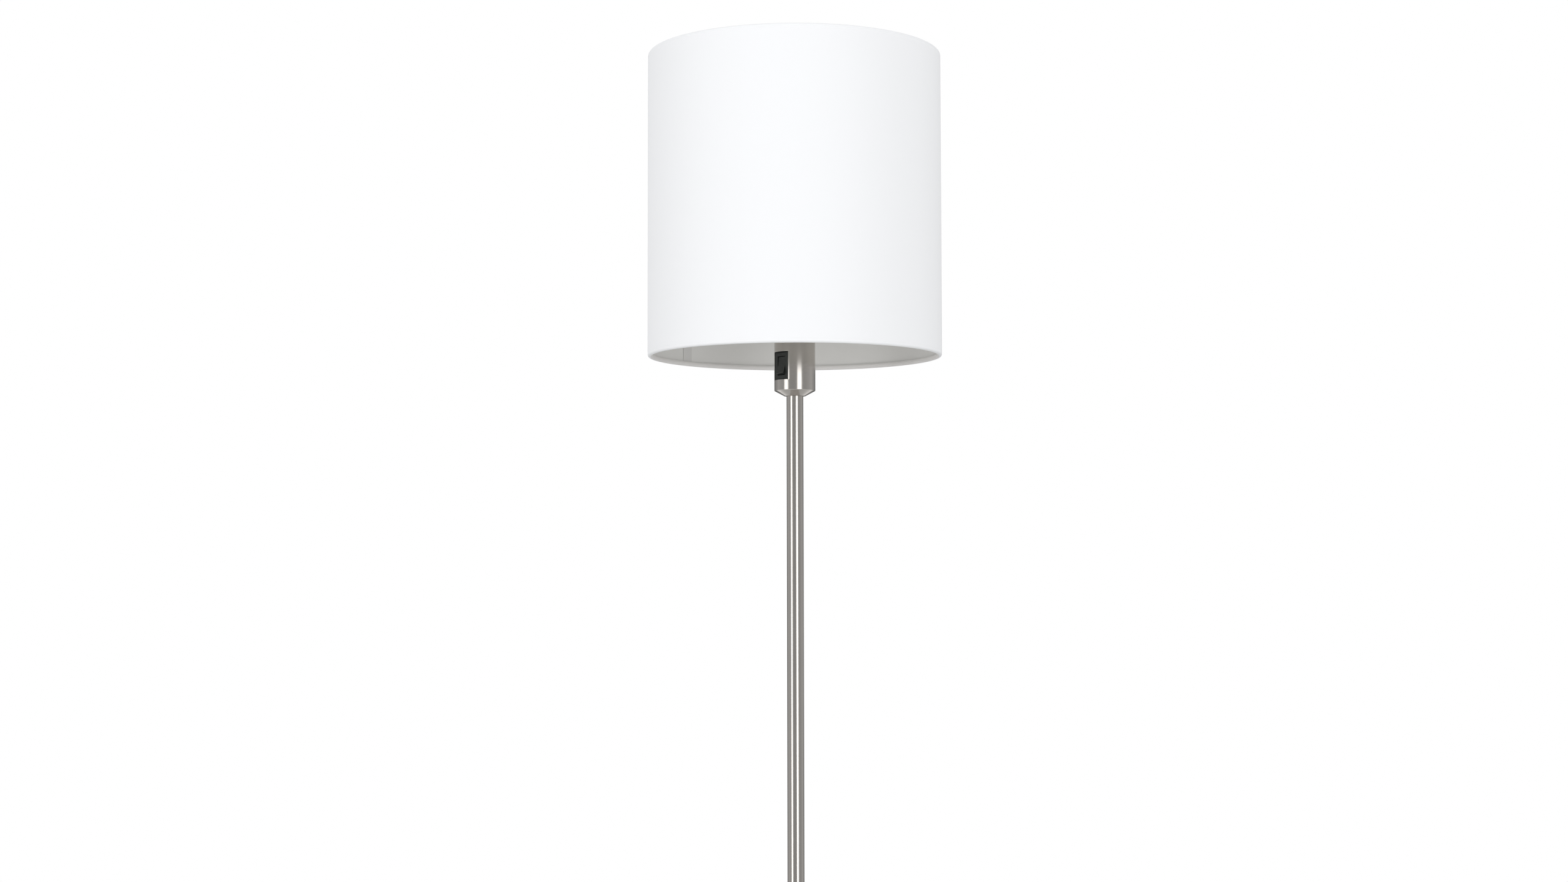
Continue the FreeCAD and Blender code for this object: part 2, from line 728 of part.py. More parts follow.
def make_bulb():
    shell = revolved(
        ("bulb_shell_diameter / 2 - bulb_shell_taper", "bulb_shell_foot"),
        ("bulb_shell_diameter / 2", "bulb_shell_foot + bulb_shell_taper"),
        ("bulb_shell_diameter / 2", "bulb_collar_bottom"),
        ("bulb_shell_diameter / 2 - bulb_shell_wall", "bulb_collar_bottom"),
        ("bulb_shell_diameter / 2 - bulb_shell_wall", "bulb_shell_foot + bulb_shell_taper"),
        ("bulb_shell_diameter / 2 - bulb_shell_taper - bulb_shell_wall", "bulb_shell_foot"),
    )
    keep(shell, "bulb_screw_shell")
    insulator = revolved(
        ("0", "bulb_insulator_foot"),
        ("bulb_insulator_diameter / 2", "bulb_insulator_foot"),
        ("bulb_shell_diameter / 2 - bulb_shell_taper - bulb_shell_wall", "bulb_shell_foot"),
        ("0", "bulb_shell_foot"),
    )
    keep(insulator, "bulb_insulator")
    button = revolved(
        ("0", "bulb_foot"),
        ("bulb_button_diameter / 2 - bulb_button_height", "bulb_foot"),
        ("bulb_button_diameter / 2", "bulb_insulator_foot", "bulb_button_diameter / 2 - bulb_button_height",
         "bulb_insulator_foot", "left"),
        ("0", "bulb_insulator_foot"),
    )
    keep(button, "bulb_button")
    foot = "bulb_collar_foot / 2"
    mouth = "globe_mouth / 2"
    collar_piece = revolved(
        (f"{foot} - bulb_collar_wall", "bulb_collar_bottom"),
        (foot, "bulb_collar_bottom"),
        (foot, "bulb_collar_bottom + bulb_collar_skirt"),
        (mouth, "bulb_collar_top"),
        (f"{mouth} - bulb_collar_wall", "bulb_collar_top"),
        (f"{foot} - bulb_collar_wall", "bulb_collar_bottom + bulb_collar_skirt"),
    )
    keep(collar_piece, "bulb_collar")
    inner = "(globe_diameter / 2 - globe_wall)"
    rim = "globe_centre - sqrt((globe_diameter / 2) ^ 2 - (globe_mouth / 2) ^ 2)"
    inner_mouth = "(globe_mouth / 2 - globe_wall)"
    inner_rim = f"globe_centre - sqrt({inner} ^ 2 - {inner_mouth} ^ 2)"
    globe = revolved(
        (mouth, "bulb_collar_top"),
        (mouth, rim),
        ("0", "globe_centre + globe_diameter / 2", "0", "globe_centre", "left"),
        ("0", f"globe_centre + {inner}"),
        (inner_mouth, inner_rim, "0", "globe_centre", "right"),
        (inner_mouth, "bulb_collar_top"),
    )
    keep(globe, "bulb_globe")


# ---------------------------------------------------------------- rocker switch


def make_switch_case():
    wide, high = "(bezel_width / 2 - bezel_gap)", "(bezel_height / 2 - bezel_gap)"
    bezel = block((f"-{wide}", wide), ("-bezel_face + bezel_edge", "-bezel_face + bezel_depth"),
                  (f"-{high}", high))
    # the bezel's front narrows by its bevelled edge
    front = doc.addObject("Part::Wedge", "bevel")
    front.setExpression("Ymin", full("-bezel_face"))
    front.setExpression("Ymax", full("-bezel_face + bezel_edge"))
    for axis, half in (("X", wide), ("Z", high)):
        front.setExpression(axis + "min", full(f"-({half} - bezel_edge)"))
        front.setExpression(axis + "max", full(f"{half} - bezel_edge"))
        front.setExpression(axis + "2min", full(f"-{half}"))
        front.setExpression(axis + "2max", full(half))
    shoulder = block(
        ("-shoulder_width / 2", "shoulder_width / 2"),
        ("-shoulder_face", "-shoulder_face + shoulder_depth"),
        ("-bezel_height / 2 - shoulder_overlap", "bezel_height / 2 + shoulder_overlap"),
    )
    half_width = "(rocker_width / 2 + rocker_gap)"
    half_height = "(rocker_reach + rocker_gap)"
    box = block(
        (f"-{half_width} - case_wall", f"{half_width} + case_wall"),
        ("-bezel_face + bezel_depth", "-case_back + case_floor"),
        (f"-{half_height} - case_wall", f"{half_height} + case_wall"),
    )
    cavity = block(
        (f"-{half_width}", half_width),
        ("-bezel_face - overcut", "-case_back"),
        (f"-{half_height}", half_height),
    )
    pin_sockets = cylinder(
        "pivot_diameter + 2 * pivot_clearance", f"2 * ({half_width} + pivot_length)",
        x=f"-{half_width} - pivot_length", y="-pivot_face", along="X",
    )
    slots = [
        block(("-terminal_width / 2", "terminal_width / 2"),
              ("-case_back - overcut", "-case_back + case_floor + overcut"),
              (f"{height} - terminal_thickness / 2", f"{height} + terminal_thickness / 2"))
        for height in ("0", "load_offset")
    ]
    case = cut(joined(front, bezel, shoulder, box), cavity, pin_sockets, *slots)
    keep(place(case, z="switch_height"), "switch_case")


def rocker_profile(inset="0", floor="-rocker_skirt"):
    """The rocker's side view about its pivot, as (y, z), with the finger faces towards -Y. An inset profile
    lies that far inside, for the hollow."""
    reach = f"(rocker_reach - {inset})"
    crown = f"(rocker_crown - {inset})"
    slope = "tan(rocker_slope_angle)"
    # where the sloping face meets the end arc: z ^ 2 + (crown + z * slope) ^ 2 = reach ^ 2
    root = f"sqrt({reach} ^ 2 * (1 + {slope} ^ 2) - {crown} ^ 2)"
    tip_z = f"(({root} - {crown} * {slope}) / (1 + {slope} ^ 2))"
    tip_y = f"({crown} + {tip_z} * {slope})"
    low_z = f"sqrt({reach} ^ 2 - ({floor}) ^ 2)"
    return (
        (f"-{crown}", "0"),
        (f"-{tip_y}", tip_z),
        (f"-({floor})", low_z, "0", "0", "right"),
        (f"-({floor})", f"-{low_z}"),
        (f"-{tip_y}", f"-{tip_z}", "0", "0", "right"),
    )


def make_rocker():
    outer = padded("YZ_Plane", "rocker_width", *rocker_profile(), middle=True)
    hollow = padded("YZ_Plane", "rocker_width - 2 * rocker_wall",
                    *rocker_profile("rocker_wall", "-(rocker_skirt + overcut)"), middle=True)
    boss_diameter = "plunger_diameter + 2 * plunger_clearance + 2 * boss_wall"
    boss = cylinder(boss_diameter, "boss_reach + rocker_crown - rocker_wall / 2",
                    y="-rocker_crown + rocker_wall / 2", along="Y")
    pins = cylinder("pivot_diameter", "rocker_width + 2 * pivot_length", x="-rocker_width / 2 - pivot_length",
                    along="X")
    # the pins are stubs: the hollow and the boss bore pass between them
    pin_gap = block(("-rocker_width / 2 + rocker_wall", "rocker_width / 2 - rocker_wall"),
                    ("-pivot_diameter", "pivot_diameter"), ("-pivot_diameter", "pivot_diameter"))
    shell = cut(outer, hollow)
    stubs = cut(pins, pin_gap)
    bore_length = "boss_reach + rocker_crown - 2 * rocker_wall + overcut"
    bore = cylinder("plunger_diameter + 2 * plunger_clearance", bore_length,
                    y="-rocker_crown + 2 * rocker_wall", along="Y")
    rocker = cut(joined(shell, stubs, boss), bore)
    rest = "-rocker_tilt_angle"
    turned_about(rocker, Vector(1, 0, 0), rest)
    keep(place(rocker, y="-pivot_face", z="switch_height"), "switch_rocker")

    # the plunger slides in the boss and ends in a round tip
    tip = doc.addObject("Part::Sphere", "tip")
    tip.setExpression("Radius", full("plunger_diameter / 2"))
    place(tip, y="plunger_centre")
    stem = cylinder("plunger_diameter", "plunger_length", y="plunger_centre - plunger_length", along="Y")
    plunger = joined(stem, tip)
    turned_about(plunger, Vector(1, 0, 0), rest)
    keep(place(plunger, y="-pivot_face", z="switch_height"), "switch_plunger")

    # the spring is a wound wire between the bore's blind end and the plunger
    wire = number("spring_wire")
    low = number("-rocker_crown + 2 * rocker_wall + spring_wire / 2 + spring_clearance")
    high = number("plunger_centre - plunger_length - spring_wire / 2 - spring_clearance")
    turns = number("spring_turns")
    # its corners stand outside the coil, and the arcs between them lie on it
    corners_a_turn = 6
    corner_radius = number("spring_diameter - spring_wire") / 2 / math.cos(math.pi / corners_a_turn)
    corner_count = round(turns * corners_a_turn)
    coil = [
        Vector(
            corner_radius * math.cos(2 * math.pi * step / corners_a_turn),
            low + (high - low) * step / corner_count,
            corner_radius * math.sin(2 * math.pi * step / corners_a_turn),
        )
        for step in range(corner_count + 1)
    ]
    print(f"switch_spring: {(high - low) / turns - wire:.2f} mm between its turns")
    spring = wire_along("switch_spring", coil, wire, arc_share=0.5)
    spring.Placement = Placement(Vector(0, number("-pivot_face"), number("switch_height")),
                                 Rotation(Vector(1, 0, 0), number(rest)))
    keep(spring, "switch_spring")


def make_contacts():
    """The tilting contact arm on its fulcrum, and the two terminals."""
    arm_angle = "rocker_tilt_angle * contact_ratio"
    half = "contact_thickness / 2"
    across = ("-contact_width / 2", "contact_width / 2")
    strip = block(across, (f"-{half}", half), ("-contact_length / 2", "contact_length / 2"))
    # a rib on its back rocks on the common terminal
    rib = cylinder("fulcrum_rib", "contact_width", x="-contact_width / 2", along="X")
    front = block(across, ("-fulcrum_rib", "0"), ("-fulcrum_rib", "fulcrum_rib"))
    arm = joined(strip, cut(rib, front))
    turned_about(arm, Vector(1, 0, 0), arm_angle)
    keep(place(arm, y="-fulcrum_face", z="switch_height"), "contact_arm")

    def terminal(label, height, top):
        side = "(terminal_width / 2 - terminal_clearance)"
        face = "(terminal_thickness / 2 - terminal_clearance)"
        tab = block((f"-{side}", side), (top, "-case_back + case_floor + terminal_tail"),
                    (f"{height} - {face}", f"{height} + {face}"))
        keep(place(group(tab), z="switch_height"), label)

    terminal("common_terminal", "0", "-fulcrum_face + fulcrum_rib / 2 + contact_gap")
    closed = f"(load_offset + terminal_thickness / 2) * tan({arm_angle}) + {half} / cos({arm_angle})"
    terminal("load_terminal", "load_offset", f"-fulcrum_face + {closed} + contact_gap")


# ---------------------------------------------------------------- wiring


def make_wiring():
    # the cord's inner run: drawn in the XZ plane and turned so that it comes in from the back
    lead = bent_rod(
        "lead_diameter",
        ("0", "cup_floor + lead_stub"),
        ("0", "inlet_height + lead_bend"),
        ("lead_bend", "inlet_height", "lead_bend", "inlet_height + lead_bend", "left"),
        ("cover_radius - inlet_depth - thread_clearance", "inlet_height"),
    )
    lead.Placement = Placement(Vector(), Rotation(Vector(0, 0, 1), 90))
    keep(lead, "inner_lead")

    wire = number("core_wire_diameter")
    lead_end = number("cup_floor + lead_stub")
    switch = number("switch_height")
    load = switch + number("load_offset")
    tail = number("-case_back + case_floor + terminal_tail")
    behind = tail + 4 * wire
    doorway = number("holder_cap_bottom")
    screw = number("core_bottom - terminal_screw_length / 2")
    side = number("terminal_spacing / 2")
    setback = number("terminal_setback")
    live = [
        Vector(-0.6 * wire, 0.6 * wire, lead_end),
        Vector(-0.6 * wire, 0.6 * wire, lead_end + 3 * wire),
        Vector(-0.5 * wire, behind - wire, lead_end + 5 * wire),
        Vector(0, behind, switch),
        Vector(0, tail, switch),
    ]
    switched = [
        Vector(0, tail, load),
        Vector(0, behind, load),
        Vector(-wire, 3 * wire, (load + doorway) / 2),
        Vector(-1.5 * wire, 1.4 * wire, doorway + 0.5 * wire),
        Vector(-side, setback, screw - 2.2 * wire),
        Vector(-side, setback, screw),
    ]
    neutral = [
        Vector(0.6 * wire, 0.6 * wire, lead_end),
        Vector(0.6 * wire, 0.6 * wire, lead_end + 2 * wire),
        Vector(3 * wire, behind - wire, switch - 2 * wire),
        Vector(3.2 * wire, behind - wire, load + wire),
        Vector(1.5 * wire, 1.4 * wire, doorway + 0.5 * wire),
        Vector(side, setback, screw - 2.2 * wire),
        Vector(side, setback, screw),
    ]
    corners_of = {"live_wire": live, "switched_wire": switched, "neutral_wire": neutral}
    for label, corners in corners_of.items():
        keep(wire_along(label, corners, wire), label)


# ---------------------------------------------------------------- shade


def hem(rim, side):
    """The fabric's turn round a frame ring, from its outer face round to its free edge and back. rim is the
    height of the shade's edge, and side is '+' for the bottom edge and '-' for the top one."""
    outer_centre = ("ring_radius", f"{rim} {side} edge_radius")
    wire_centre = ("ring_radius", f"{rim} {side} hem_radius")
    start = ("fabric_radius", f"{rim} {side} edge_radius")
    steps = (
        ("ring_radius", rim, *outer_centre, "right"),
        ("ring_radius - hem_radius", f"{rim} {side} hem_radius", *wire_centre, "right"),
        ("ring_radius", f"{rim} {side} 2 * hem_radius", *wire_centre, "right"),
        ("liner_bore_radius", f"{rim} {side} 2 * hem_radius"),
        ("liner_bore_radius", f"{rim} {side} (2 * hem_radius - fabric_thickness)"),
        ("ring_radius", f"{rim} {side} (2 * hem_radius - fabric_thickness)"),
        ("ring_radius - hem_radius + fabric_thickness", f"{rim} {side} hem_radius", *wire_centre, "left"),
        ("ring_radius", f"{rim} {side} fabric_thickness", *wire_centre, "left"),
        ("liner_radius", f"{rim} {side} edge_radius", *outer_centre, "left"),
    )
    return start, steps


def backwards(start, steps):
    """The mirror image of a stretch of outline, drawn from its end to its start."""
    corners = [start] + [step[:2] for step in steps]
    return [corner + step[2:] for corner, step in zip(corners[-2::-1], steps[::-1])]


def make_shade():
    start, bottom_hem = hem("shade_bottom", "+")
    top_start, top_hem = hem("total_height", "-")
    fabric = revolved(start, *bottom_hem, top_hem[-1][:2], *backwards(top_start, top_hem))
    notches = []
    for arm in range(int(number("arm_count"))):
        notch = block(("arm_radius - frame_wire", "ring_radius - wire_radius"),
                      ("-wire_radius - arm_notch_gap", "wire_radius + arm_notch_gap"),
                      ("shade_bottom - overcut", "shade_bottom + 2 * hem_radius + overcut"))
        ring = group(notch)
        turned_about(ring, Vector(0, 0, 1), f"shade_angle + {arm} * 360 / arm_count")
        notches.append(ring)
    keep(cut(fabric, *notches), "shade_fabric")

    keep(collar("liner_bore_radius", "liner_radius", "shade_bottom + edge_radius", "total_height - edge_radius"),
         "shade_liner")

    for label, level in (("shade_bottom_ring", "shade_bottom + hem_radius"),
                         ("shade_top_ring", "total_height - hem_radius")):
        ring = doc.addObject("Part::Torus", "ring")
        ring.setExpression("Radius1", full("ring_radius"))
        ring.setExpression("Radius2", full("wire_radius"))
        keep(place(ring, z=level), label)

    # the seam: a doubled strip of liner glued over the joint, on the inside
    strip_sweep = "seam_width / liner_bore_radius * 180 / pi"
    outside = "liner_bore_radius - glue_gap"
    strip = doc.addObject("PartDesign::Body", "seam")
    sketch = new_sketch(strip, "XZ_Plane")
    low, high = "shade_bottom + 2 * hem_radius + glue_gap", "total_height - 2 * hem_radius - glue_gap"
    corners = (
        (f"{outside} - liner_thickness", low),
        (outside, low),
        (outside, high),
        (f"{outside} - liner_thickness", high),
    )
    outline(sketch, corners[0], corners[1:] + corners[:1])
    turn = strip.newObject("PartDesign::Revolution", "revolution")
    turn.Profile = sketch
    turn.ReferenceAxis = (sketch, ["V_Axis"])
    turn.setExpression("Angle", full(strip_sweep))
    turned_about(strip, Vector(0, 0, 1), "shade_angle + seam_angle")
    keep(strip, "shade_seam_strip")

    carrier = collar("carrier_bore / 2", "carrier_diameter / 2", "carrier_bottom",
                     "carrier_bottom + carrier_thickness")
    keep(carrier, "shade_carrier_ring")
    arms = []
    for arm in range(int(number("arm_count"))):
        rod = bent_rod(
            "frame_wire",
            ("arm_radius", "shade_bottom + fabric_thickness"),
            ("arm_radius", "arm_height - arm_bend"),
            ("arm_radius - arm_bend", "arm_height", "arm_radius - arm_bend", "arm_height - arm_bend", "left"),
            ("carrier_diameter / 2 - arm_inset", "arm_height"),
        )
        turned_about(rod, Vector(0, 0, 1), f"shade_angle + {arm} * 360 / arm_count")
        arms.append(rod)
    keep(group(*arms), "shade_arms")


# ---------------------------------------------------------------- build, check and write


def check_and_write():
    doc.recompute()
    for item in doc.Objects:
        if "Invalid" in item.State or "Error" in item.State:
            raise RuntimeError(f"{item.Label} ({item.Name}) has failed: {item.State} {item.getStatusString()}")
    os.makedirs("parts", exist_ok=True)
    for piece in sub_parts:
        shape = piece.Shape
        if shape.isNull() or not shape.isValid() or not shape.Solids:
            raise RuntimeError(f"{piece.Label} has no valid solid")
        shape.exportStep(f"parts/{piece.Label}.step")
        print(f"{piece.Label}: {len(shape.Solids)} solid(s), {shape.Volume:.1f} mm3")


make_foot()
make_column()
make_cup()
make_holder()
make_bulb()
make_switch_case()
make_rocker()
make_contacts()
make_wiring()
make_shade()
check_and_write()
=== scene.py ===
import math

import bpy
from mathutils import Matrix, Vector


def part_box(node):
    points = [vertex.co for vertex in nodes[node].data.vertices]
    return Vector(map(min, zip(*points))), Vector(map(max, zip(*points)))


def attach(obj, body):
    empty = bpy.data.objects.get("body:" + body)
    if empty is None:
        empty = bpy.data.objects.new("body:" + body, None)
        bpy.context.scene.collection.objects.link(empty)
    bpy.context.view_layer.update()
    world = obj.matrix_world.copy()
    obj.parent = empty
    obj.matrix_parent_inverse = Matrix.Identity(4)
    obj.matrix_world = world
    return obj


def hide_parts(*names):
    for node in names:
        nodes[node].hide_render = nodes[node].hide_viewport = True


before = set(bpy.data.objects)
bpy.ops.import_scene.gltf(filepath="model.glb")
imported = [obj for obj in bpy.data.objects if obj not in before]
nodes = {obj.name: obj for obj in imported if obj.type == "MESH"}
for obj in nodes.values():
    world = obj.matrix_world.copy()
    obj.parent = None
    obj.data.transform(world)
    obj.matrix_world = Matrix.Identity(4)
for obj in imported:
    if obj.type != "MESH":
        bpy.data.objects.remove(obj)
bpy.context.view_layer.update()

scene = bpy.context.scene
mm = 0.001
overcut = 5 * mm  # how far a carving tool runs past the piece
print("lamp: CAD loaded,", len(nodes), "nodes")


def clearSelection():
    if bpy.context.object and bpy.context.object.mode != "OBJECT":
        bpy.ops.object.mode_set(mode="OBJECT")
    bpy.ops.object.select_all(action="DESELECT")


def pickOnly(piece):
    clearSelection()
    piece.select_set(True)
    bpy.context.view_layer.objects.active = piece


def applyPlace(piece):
    pickOnly(piece)
    bpy.ops.object.transform_apply(location=True, rotation=True, scale=True)


def applyAll(piece):
    pickOnly(piece)
    for modifier in list(piece.modifiers):
        bpy.ops.object.modifier_apply(modifier=modifier.name)


def closeUp(piece, gap=2e-6):  # doubles merged, faces outwards
    pickOnly(piece)
    bpy.ops.object.mode_set(mode="EDIT")
    bpy.ops.mesh.select_all(action="SELECT")
    bpy.ops.mesh.remove_doubles(threshold=gap)
    bpy.ops.mesh.normals_make_consistent(inside=False)
    bpy.ops.object.mode_set(mode="OBJECT")


def smooth(piece, degrees=35):  # the large faces keep their own normals beside a soft edge
    pickOnly(piece)
    bpy.ops.object.shade_smooth_by_angle(angle=math.radians(degrees))
    modifier = piece.modifiers.new("normals", "WEIGHTED_NORMAL")
    modifier.keep_sharp = True
    applyAll(piece)


def rounded(corners, steps=4):  # corners of (radius, height, rounding) to a turned shape's rings
    rings = []
    for index, (radius, height, rounding) in enumerate(corners):
        here = Vector((radius, height))
        if not rounding:
            rings.append((radius, height))
            continue
        back = (Vector(corners[index - 1][:2]) - here).normalized()
        ahead = (Vector(corners[(index + 1) % len(corners)][:2]) - here).normalized()
        half = back.angle(ahead) / 2
        centre = here + (back + ahead).normalized() * (rounding / math.sin(half))
        start = here + back * (rounding / math.tan(half)) - centre
        end = here + ahead * (rounding / math.tan(half)) - centre
        turn = start.angle(end)
        for step in range(steps + 1):
            share = step / steps
            spot = start * math.sin((1 - share) * turn) + end * math.sin(share * turn)
            rings.append(tuple(centre + spot / math.sin(turn)))
    return rings


def turned(name, rings, segments=128, closed=True):  # a circle drawn out ring by ring
    rings = [(max(radius, 1e-6), height) for radius, height in rings]
    radius, height = rings[0]
    clearSelection()
    bpy.ops.mesh.primitive_circle_add(vertices=segments, radius=radius, location=(0, 0, height))
    piece = bpy.context.object
    piece.name = piece.data.name = name
    applyPlace(piece)
    bpy.ops.object.mode_set(mode="EDIT")
    bpy.ops.mesh.select_all(action="SELECT")
    for newRadius, newHeight in rings[1:] + rings[:1] * closed:
        bpy.ops.mesh.extrude_edges_move(TRANSFORM_OT_translate={"value": (0, 0, newHeight - height)})
        scale = newRadius / radius
        bpy.ops.transform.resize(value=(scale, scale, 1), center_override=(0, 0, newHeight))
        radius, height = newRadius, newHeight
    closeUp(piece)
    return piece


def copyOfNode(name, nodeName, gap=1e-5):  # a merged copy of a CAD mesh, to work on
    piece = nodes[nodeName].copy()
    piece.data = nodes[nodeName].data.copy()
    piece.parent = None
    for key in list(piece.keys()):
        del piece[key]
    piece.name = piece.data.name = name
    scene.collection.objects.link(piece)
    closeUp(piece, gap)
    return piece


def eased(piece, width, segments=2, degrees=40):  # soft edges, as moulded or tumbled
    modifier = piece.modifiers.new("edges", "BEVEL")
    modifier.width = width
    modifier.segments = segments
    modifier.limit_method = "ANGLE"
    modifier.angle_limit = math.radians(degrees)
    modifier.use_clamp_overlap = True
    applyAll(piece)


def carved(piece, tool, operation="DIFFERENCE"):
    modifier = piece.modifiers.new("carve", "BOOLEAN")
    modifier.operation = operation
    modifier.solver = "EXACT"
    modifier.object = tool
    applyAll(piece)
    bpy.data.objects.remove(tool, do_unlink=True)


def blockTool(low, high, turn=0):  # a box between two corners, for carving, turned about the column
    clearSelection()
    middle = (Vector(low) + Vector(high)) / 2
    bpy.ops.mesh.primitive_cube_add(size=1, location=middle)
    tool = bpy.context.object
    tool.scale = Vector(high) - Vector(low)
    applyPlace(tool)
    tool.data.transform(Matrix.Rotation(math.radians(turn), 4, "Z"))
    return tool


def rodTool(radius, start, end, segments=48):
    clearSelection()
    start, end = Vector(start), Vector(end)
    bpy.ops.mesh.primitive_cylinder_add(vertices=segments, radius=radius, depth=(end - start).length,
                                        location=(start + end) / 2)
    tool = bpy.context.object
    tool.rotation_euler = (end - start).to_track_quat("Z", "Y").to_euler()
    applyPlace(tool)
    return tool


def oneMesh(name, pieces):
    clearSelection()
    for piece in pieces:
        piece.select_set(True)
    bpy.context.view_layer.objects.active = pieces[0]
    if len(pieces) > 1:
        bpy.ops.object.join()
    pieces[0].name = pieces[0].data.name = name
    return pieces[0]


def copyTurned(piece, degrees):  # a copy with its own mesh, turned about the column
    twin = piece.copy()
    twin.data = piece.data.copy()
    scene.collection.objects.link(twin)
    twin.data.transform(Matrix.Rotation(math.radians(degrees), 4, "Z"))
    return twin


def sheetMap(piece, radius):  # a UV map in metres: round the shade, and up it
    mesh = piece.data
    layer = mesh.uv_layers.new(name="cloth")
    for face in mesh.polygons:
        middle = math.atan2(face.center.y, face.center.x)
        for loop in face.loop_indices:
            spot = mesh.vertices[mesh.loops[loop].vertex_index].co
            angle = math.atan2(spot.y, spot.x)
            angle += 2 * math.pi * round((middle - angle) / (2 * math.pi))
            layer.data[loop].uv = (angle * radius, spot.z)


def finish(piece, body, paint, slotName, *standsFor):
    piece.data.materials.clear()
    piece.data.materials.append(paint)
    for face in piece.data.polygons:
        face.material_index = 0
    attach(piece, body)
    if standsFor:
        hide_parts(*standsFor)


def newPaint(name, settings):
    paint = bpy.data.materials.new(name)
    paint.use_nodes = True
    tree = paint.node_tree
    shader = tree.nodes["Principled BSDF"]
    for socket, value in settings.items():
        shader.inputs[socket].default_value = value
    return paint, tree, shader


def addNode(tree, kind, inputs):  # an input is a value, or the socket that feeds it
    node = tree.nodes.new(kind)
    for socket, value in inputs.items():
        if isinstance(value, bpy.types.NodeSocket):
            tree.links.new(value, node.inputs[socket])
        else:
            node.inputs[socket].default_value = value
    return node


def maths(tree, operation, first, second, clamp=False):
    node = addNode(tree, "ShaderNodeMath", {0: first, 1: second})
    node.operation = operation
    node.use_clamp = clamp
    return node.outputs[0]


def place(tree, scale=(1, 1, 1), useUv=False, turn=(0, 0, 0)):
    coordinates = tree.nodes.new("ShaderNodeTexCoord")
    source = coordinates.outputs["UV" if useUv else "Object"]
    mapping = addNode(tree, "ShaderNodeMapping", {"Vector": source, "Scale": scale, "Rotation": turn})
    return mapping.outputs["Vector"]


def noise(tree, vector, scale, detail=4, roughness=0.5):
    node = addNode(tree, "ShaderNodeTexNoise",
                   {"Vector": vector, "Scale": scale, "Detail": detail, "Roughness": roughness})
    return node.outputs["Fac"]


def ramp(tree, factor, stops):
    node = addNode(tree, "ShaderNodeValToRGB", {"Fac": factor})
    while len(node.color_ramp.elements) < len(stops):
        node.color_ramp.elements.new(0.5)
    for element, (position, colour) in zip(node.color_ramp.elements, stops):
        element.position = position
        element.color = (*colour, 1)
    return node.outputs["Color"]


def spread(tree, factor, low, high):  # 0..1 to low..high
    node = addNode(tree, "ShaderNodeMapRange", {"Value": factor, "To Min": low, "To Max": high})
    return node.outputs["Result"]


def mottle(tree, shader, factor, base, darkest, start=0.3, stop=0.7):
    # the base colour, down to its darkest share where the factor is low
    dark = [channel * darkest for channel in base]
    tree.links.new(ramp(tree, factor, [(start, dark), (stop, base)]), shader.inputs["Base Color"])


def roughen(tree, shader, factor, low, high):
    tree.links.new(spread(tree, factor, low, high), shader.inputs["Roughness"])


def bump(tree, shader, height, distance, strength):
    node = addNode(tree, "ShaderNodeBump", {"Height": height, "Distance": distance, "Strength": strength})
    tree.links.new(node.outputs["Normal"], shader.inputs["Normal"])


def seenByEye(tree):  # 1 for what the camera sees, directly, in metal or through glass, and 0 for light
    path = tree.nodes.new("ShaderNodeLightPath")
    seen = maths(tree, "ADD", path.outputs["Is Camera Ray"], path.outputs["Is Glossy Ray"])
    return maths(tree, "ADD", seen, path.outputs["Is Transmission Ray"], clamp=True)


def satinNickel(name, grain, rough):  # plated and softly brushed: fine grain, faint cloudiness
    paint, tree, shader = newPaint(name, {"Metallic": 1.0})
    lines = noise(tree, place(tree, grain), 260, detail=2)
    cloud = noise(tree, place(tree), 28, detail=3)
    mottle(tree, shader, cloud, (0.63, 0.60, 0.567), 0.965)
    roughen(tree, shader, maths(tree, "MULTIPLY", lines, cloud), rough * 0.85, rough * 1.3)
    bump(tree, shader, lines, 0.001 * mm, 0.3)
    return paint


def pressedSteel(name, base, rough):
    paint, tree, shader = newPaint(name, {"Metallic": 1.0})
    cloud = noise(tree, place(tree), 60, detail=5)
    fine = noise(tree, place(tree), 900, detail=2)
    mottle(tree, shader, cloud, base, 0.86, 0.25, 0.75)
    roughen(tree, shader, fine, rough * 0.8, rough * 1.25)
    bump(tree, shader, fine, 0.01 * mm, 0.4)
    return paint


def mouldedPlastic(name, base, rough, grainScale=1800, grainDepth=0.012 * mm):
    paint, tree, shader = newPaint(name, {})
    grain = noise(tree, place(tree), grainScale, detail=3)
    cloud = noise(tree, place(tree), 45, detail=3)
    mottle(tree, shader, cloud, base, 0.9)
    roughen(tree, shader, grain, rough * 0.85, rough * 1.2)
    bump(tree, shader, grain, grainDepth, 0.6)
    return paint


def sandCast(name, base):
    paint, tree, shader = newPaint(name, {"Metallic": 0.6})
    grit = noise(tree, place(tree), 700, detail=6, roughness=0.7)
    cloud = noise(tree, place(tree), 22, detail=4)
    mottle(tree, shader, cloud, base, 0.7, 0.3, 0.8)
    roughen(tree, shader, grit, 0.55, 0.85)
    bump(tree, shader, grit, 0.3 * mm, 0.8)
    return paint


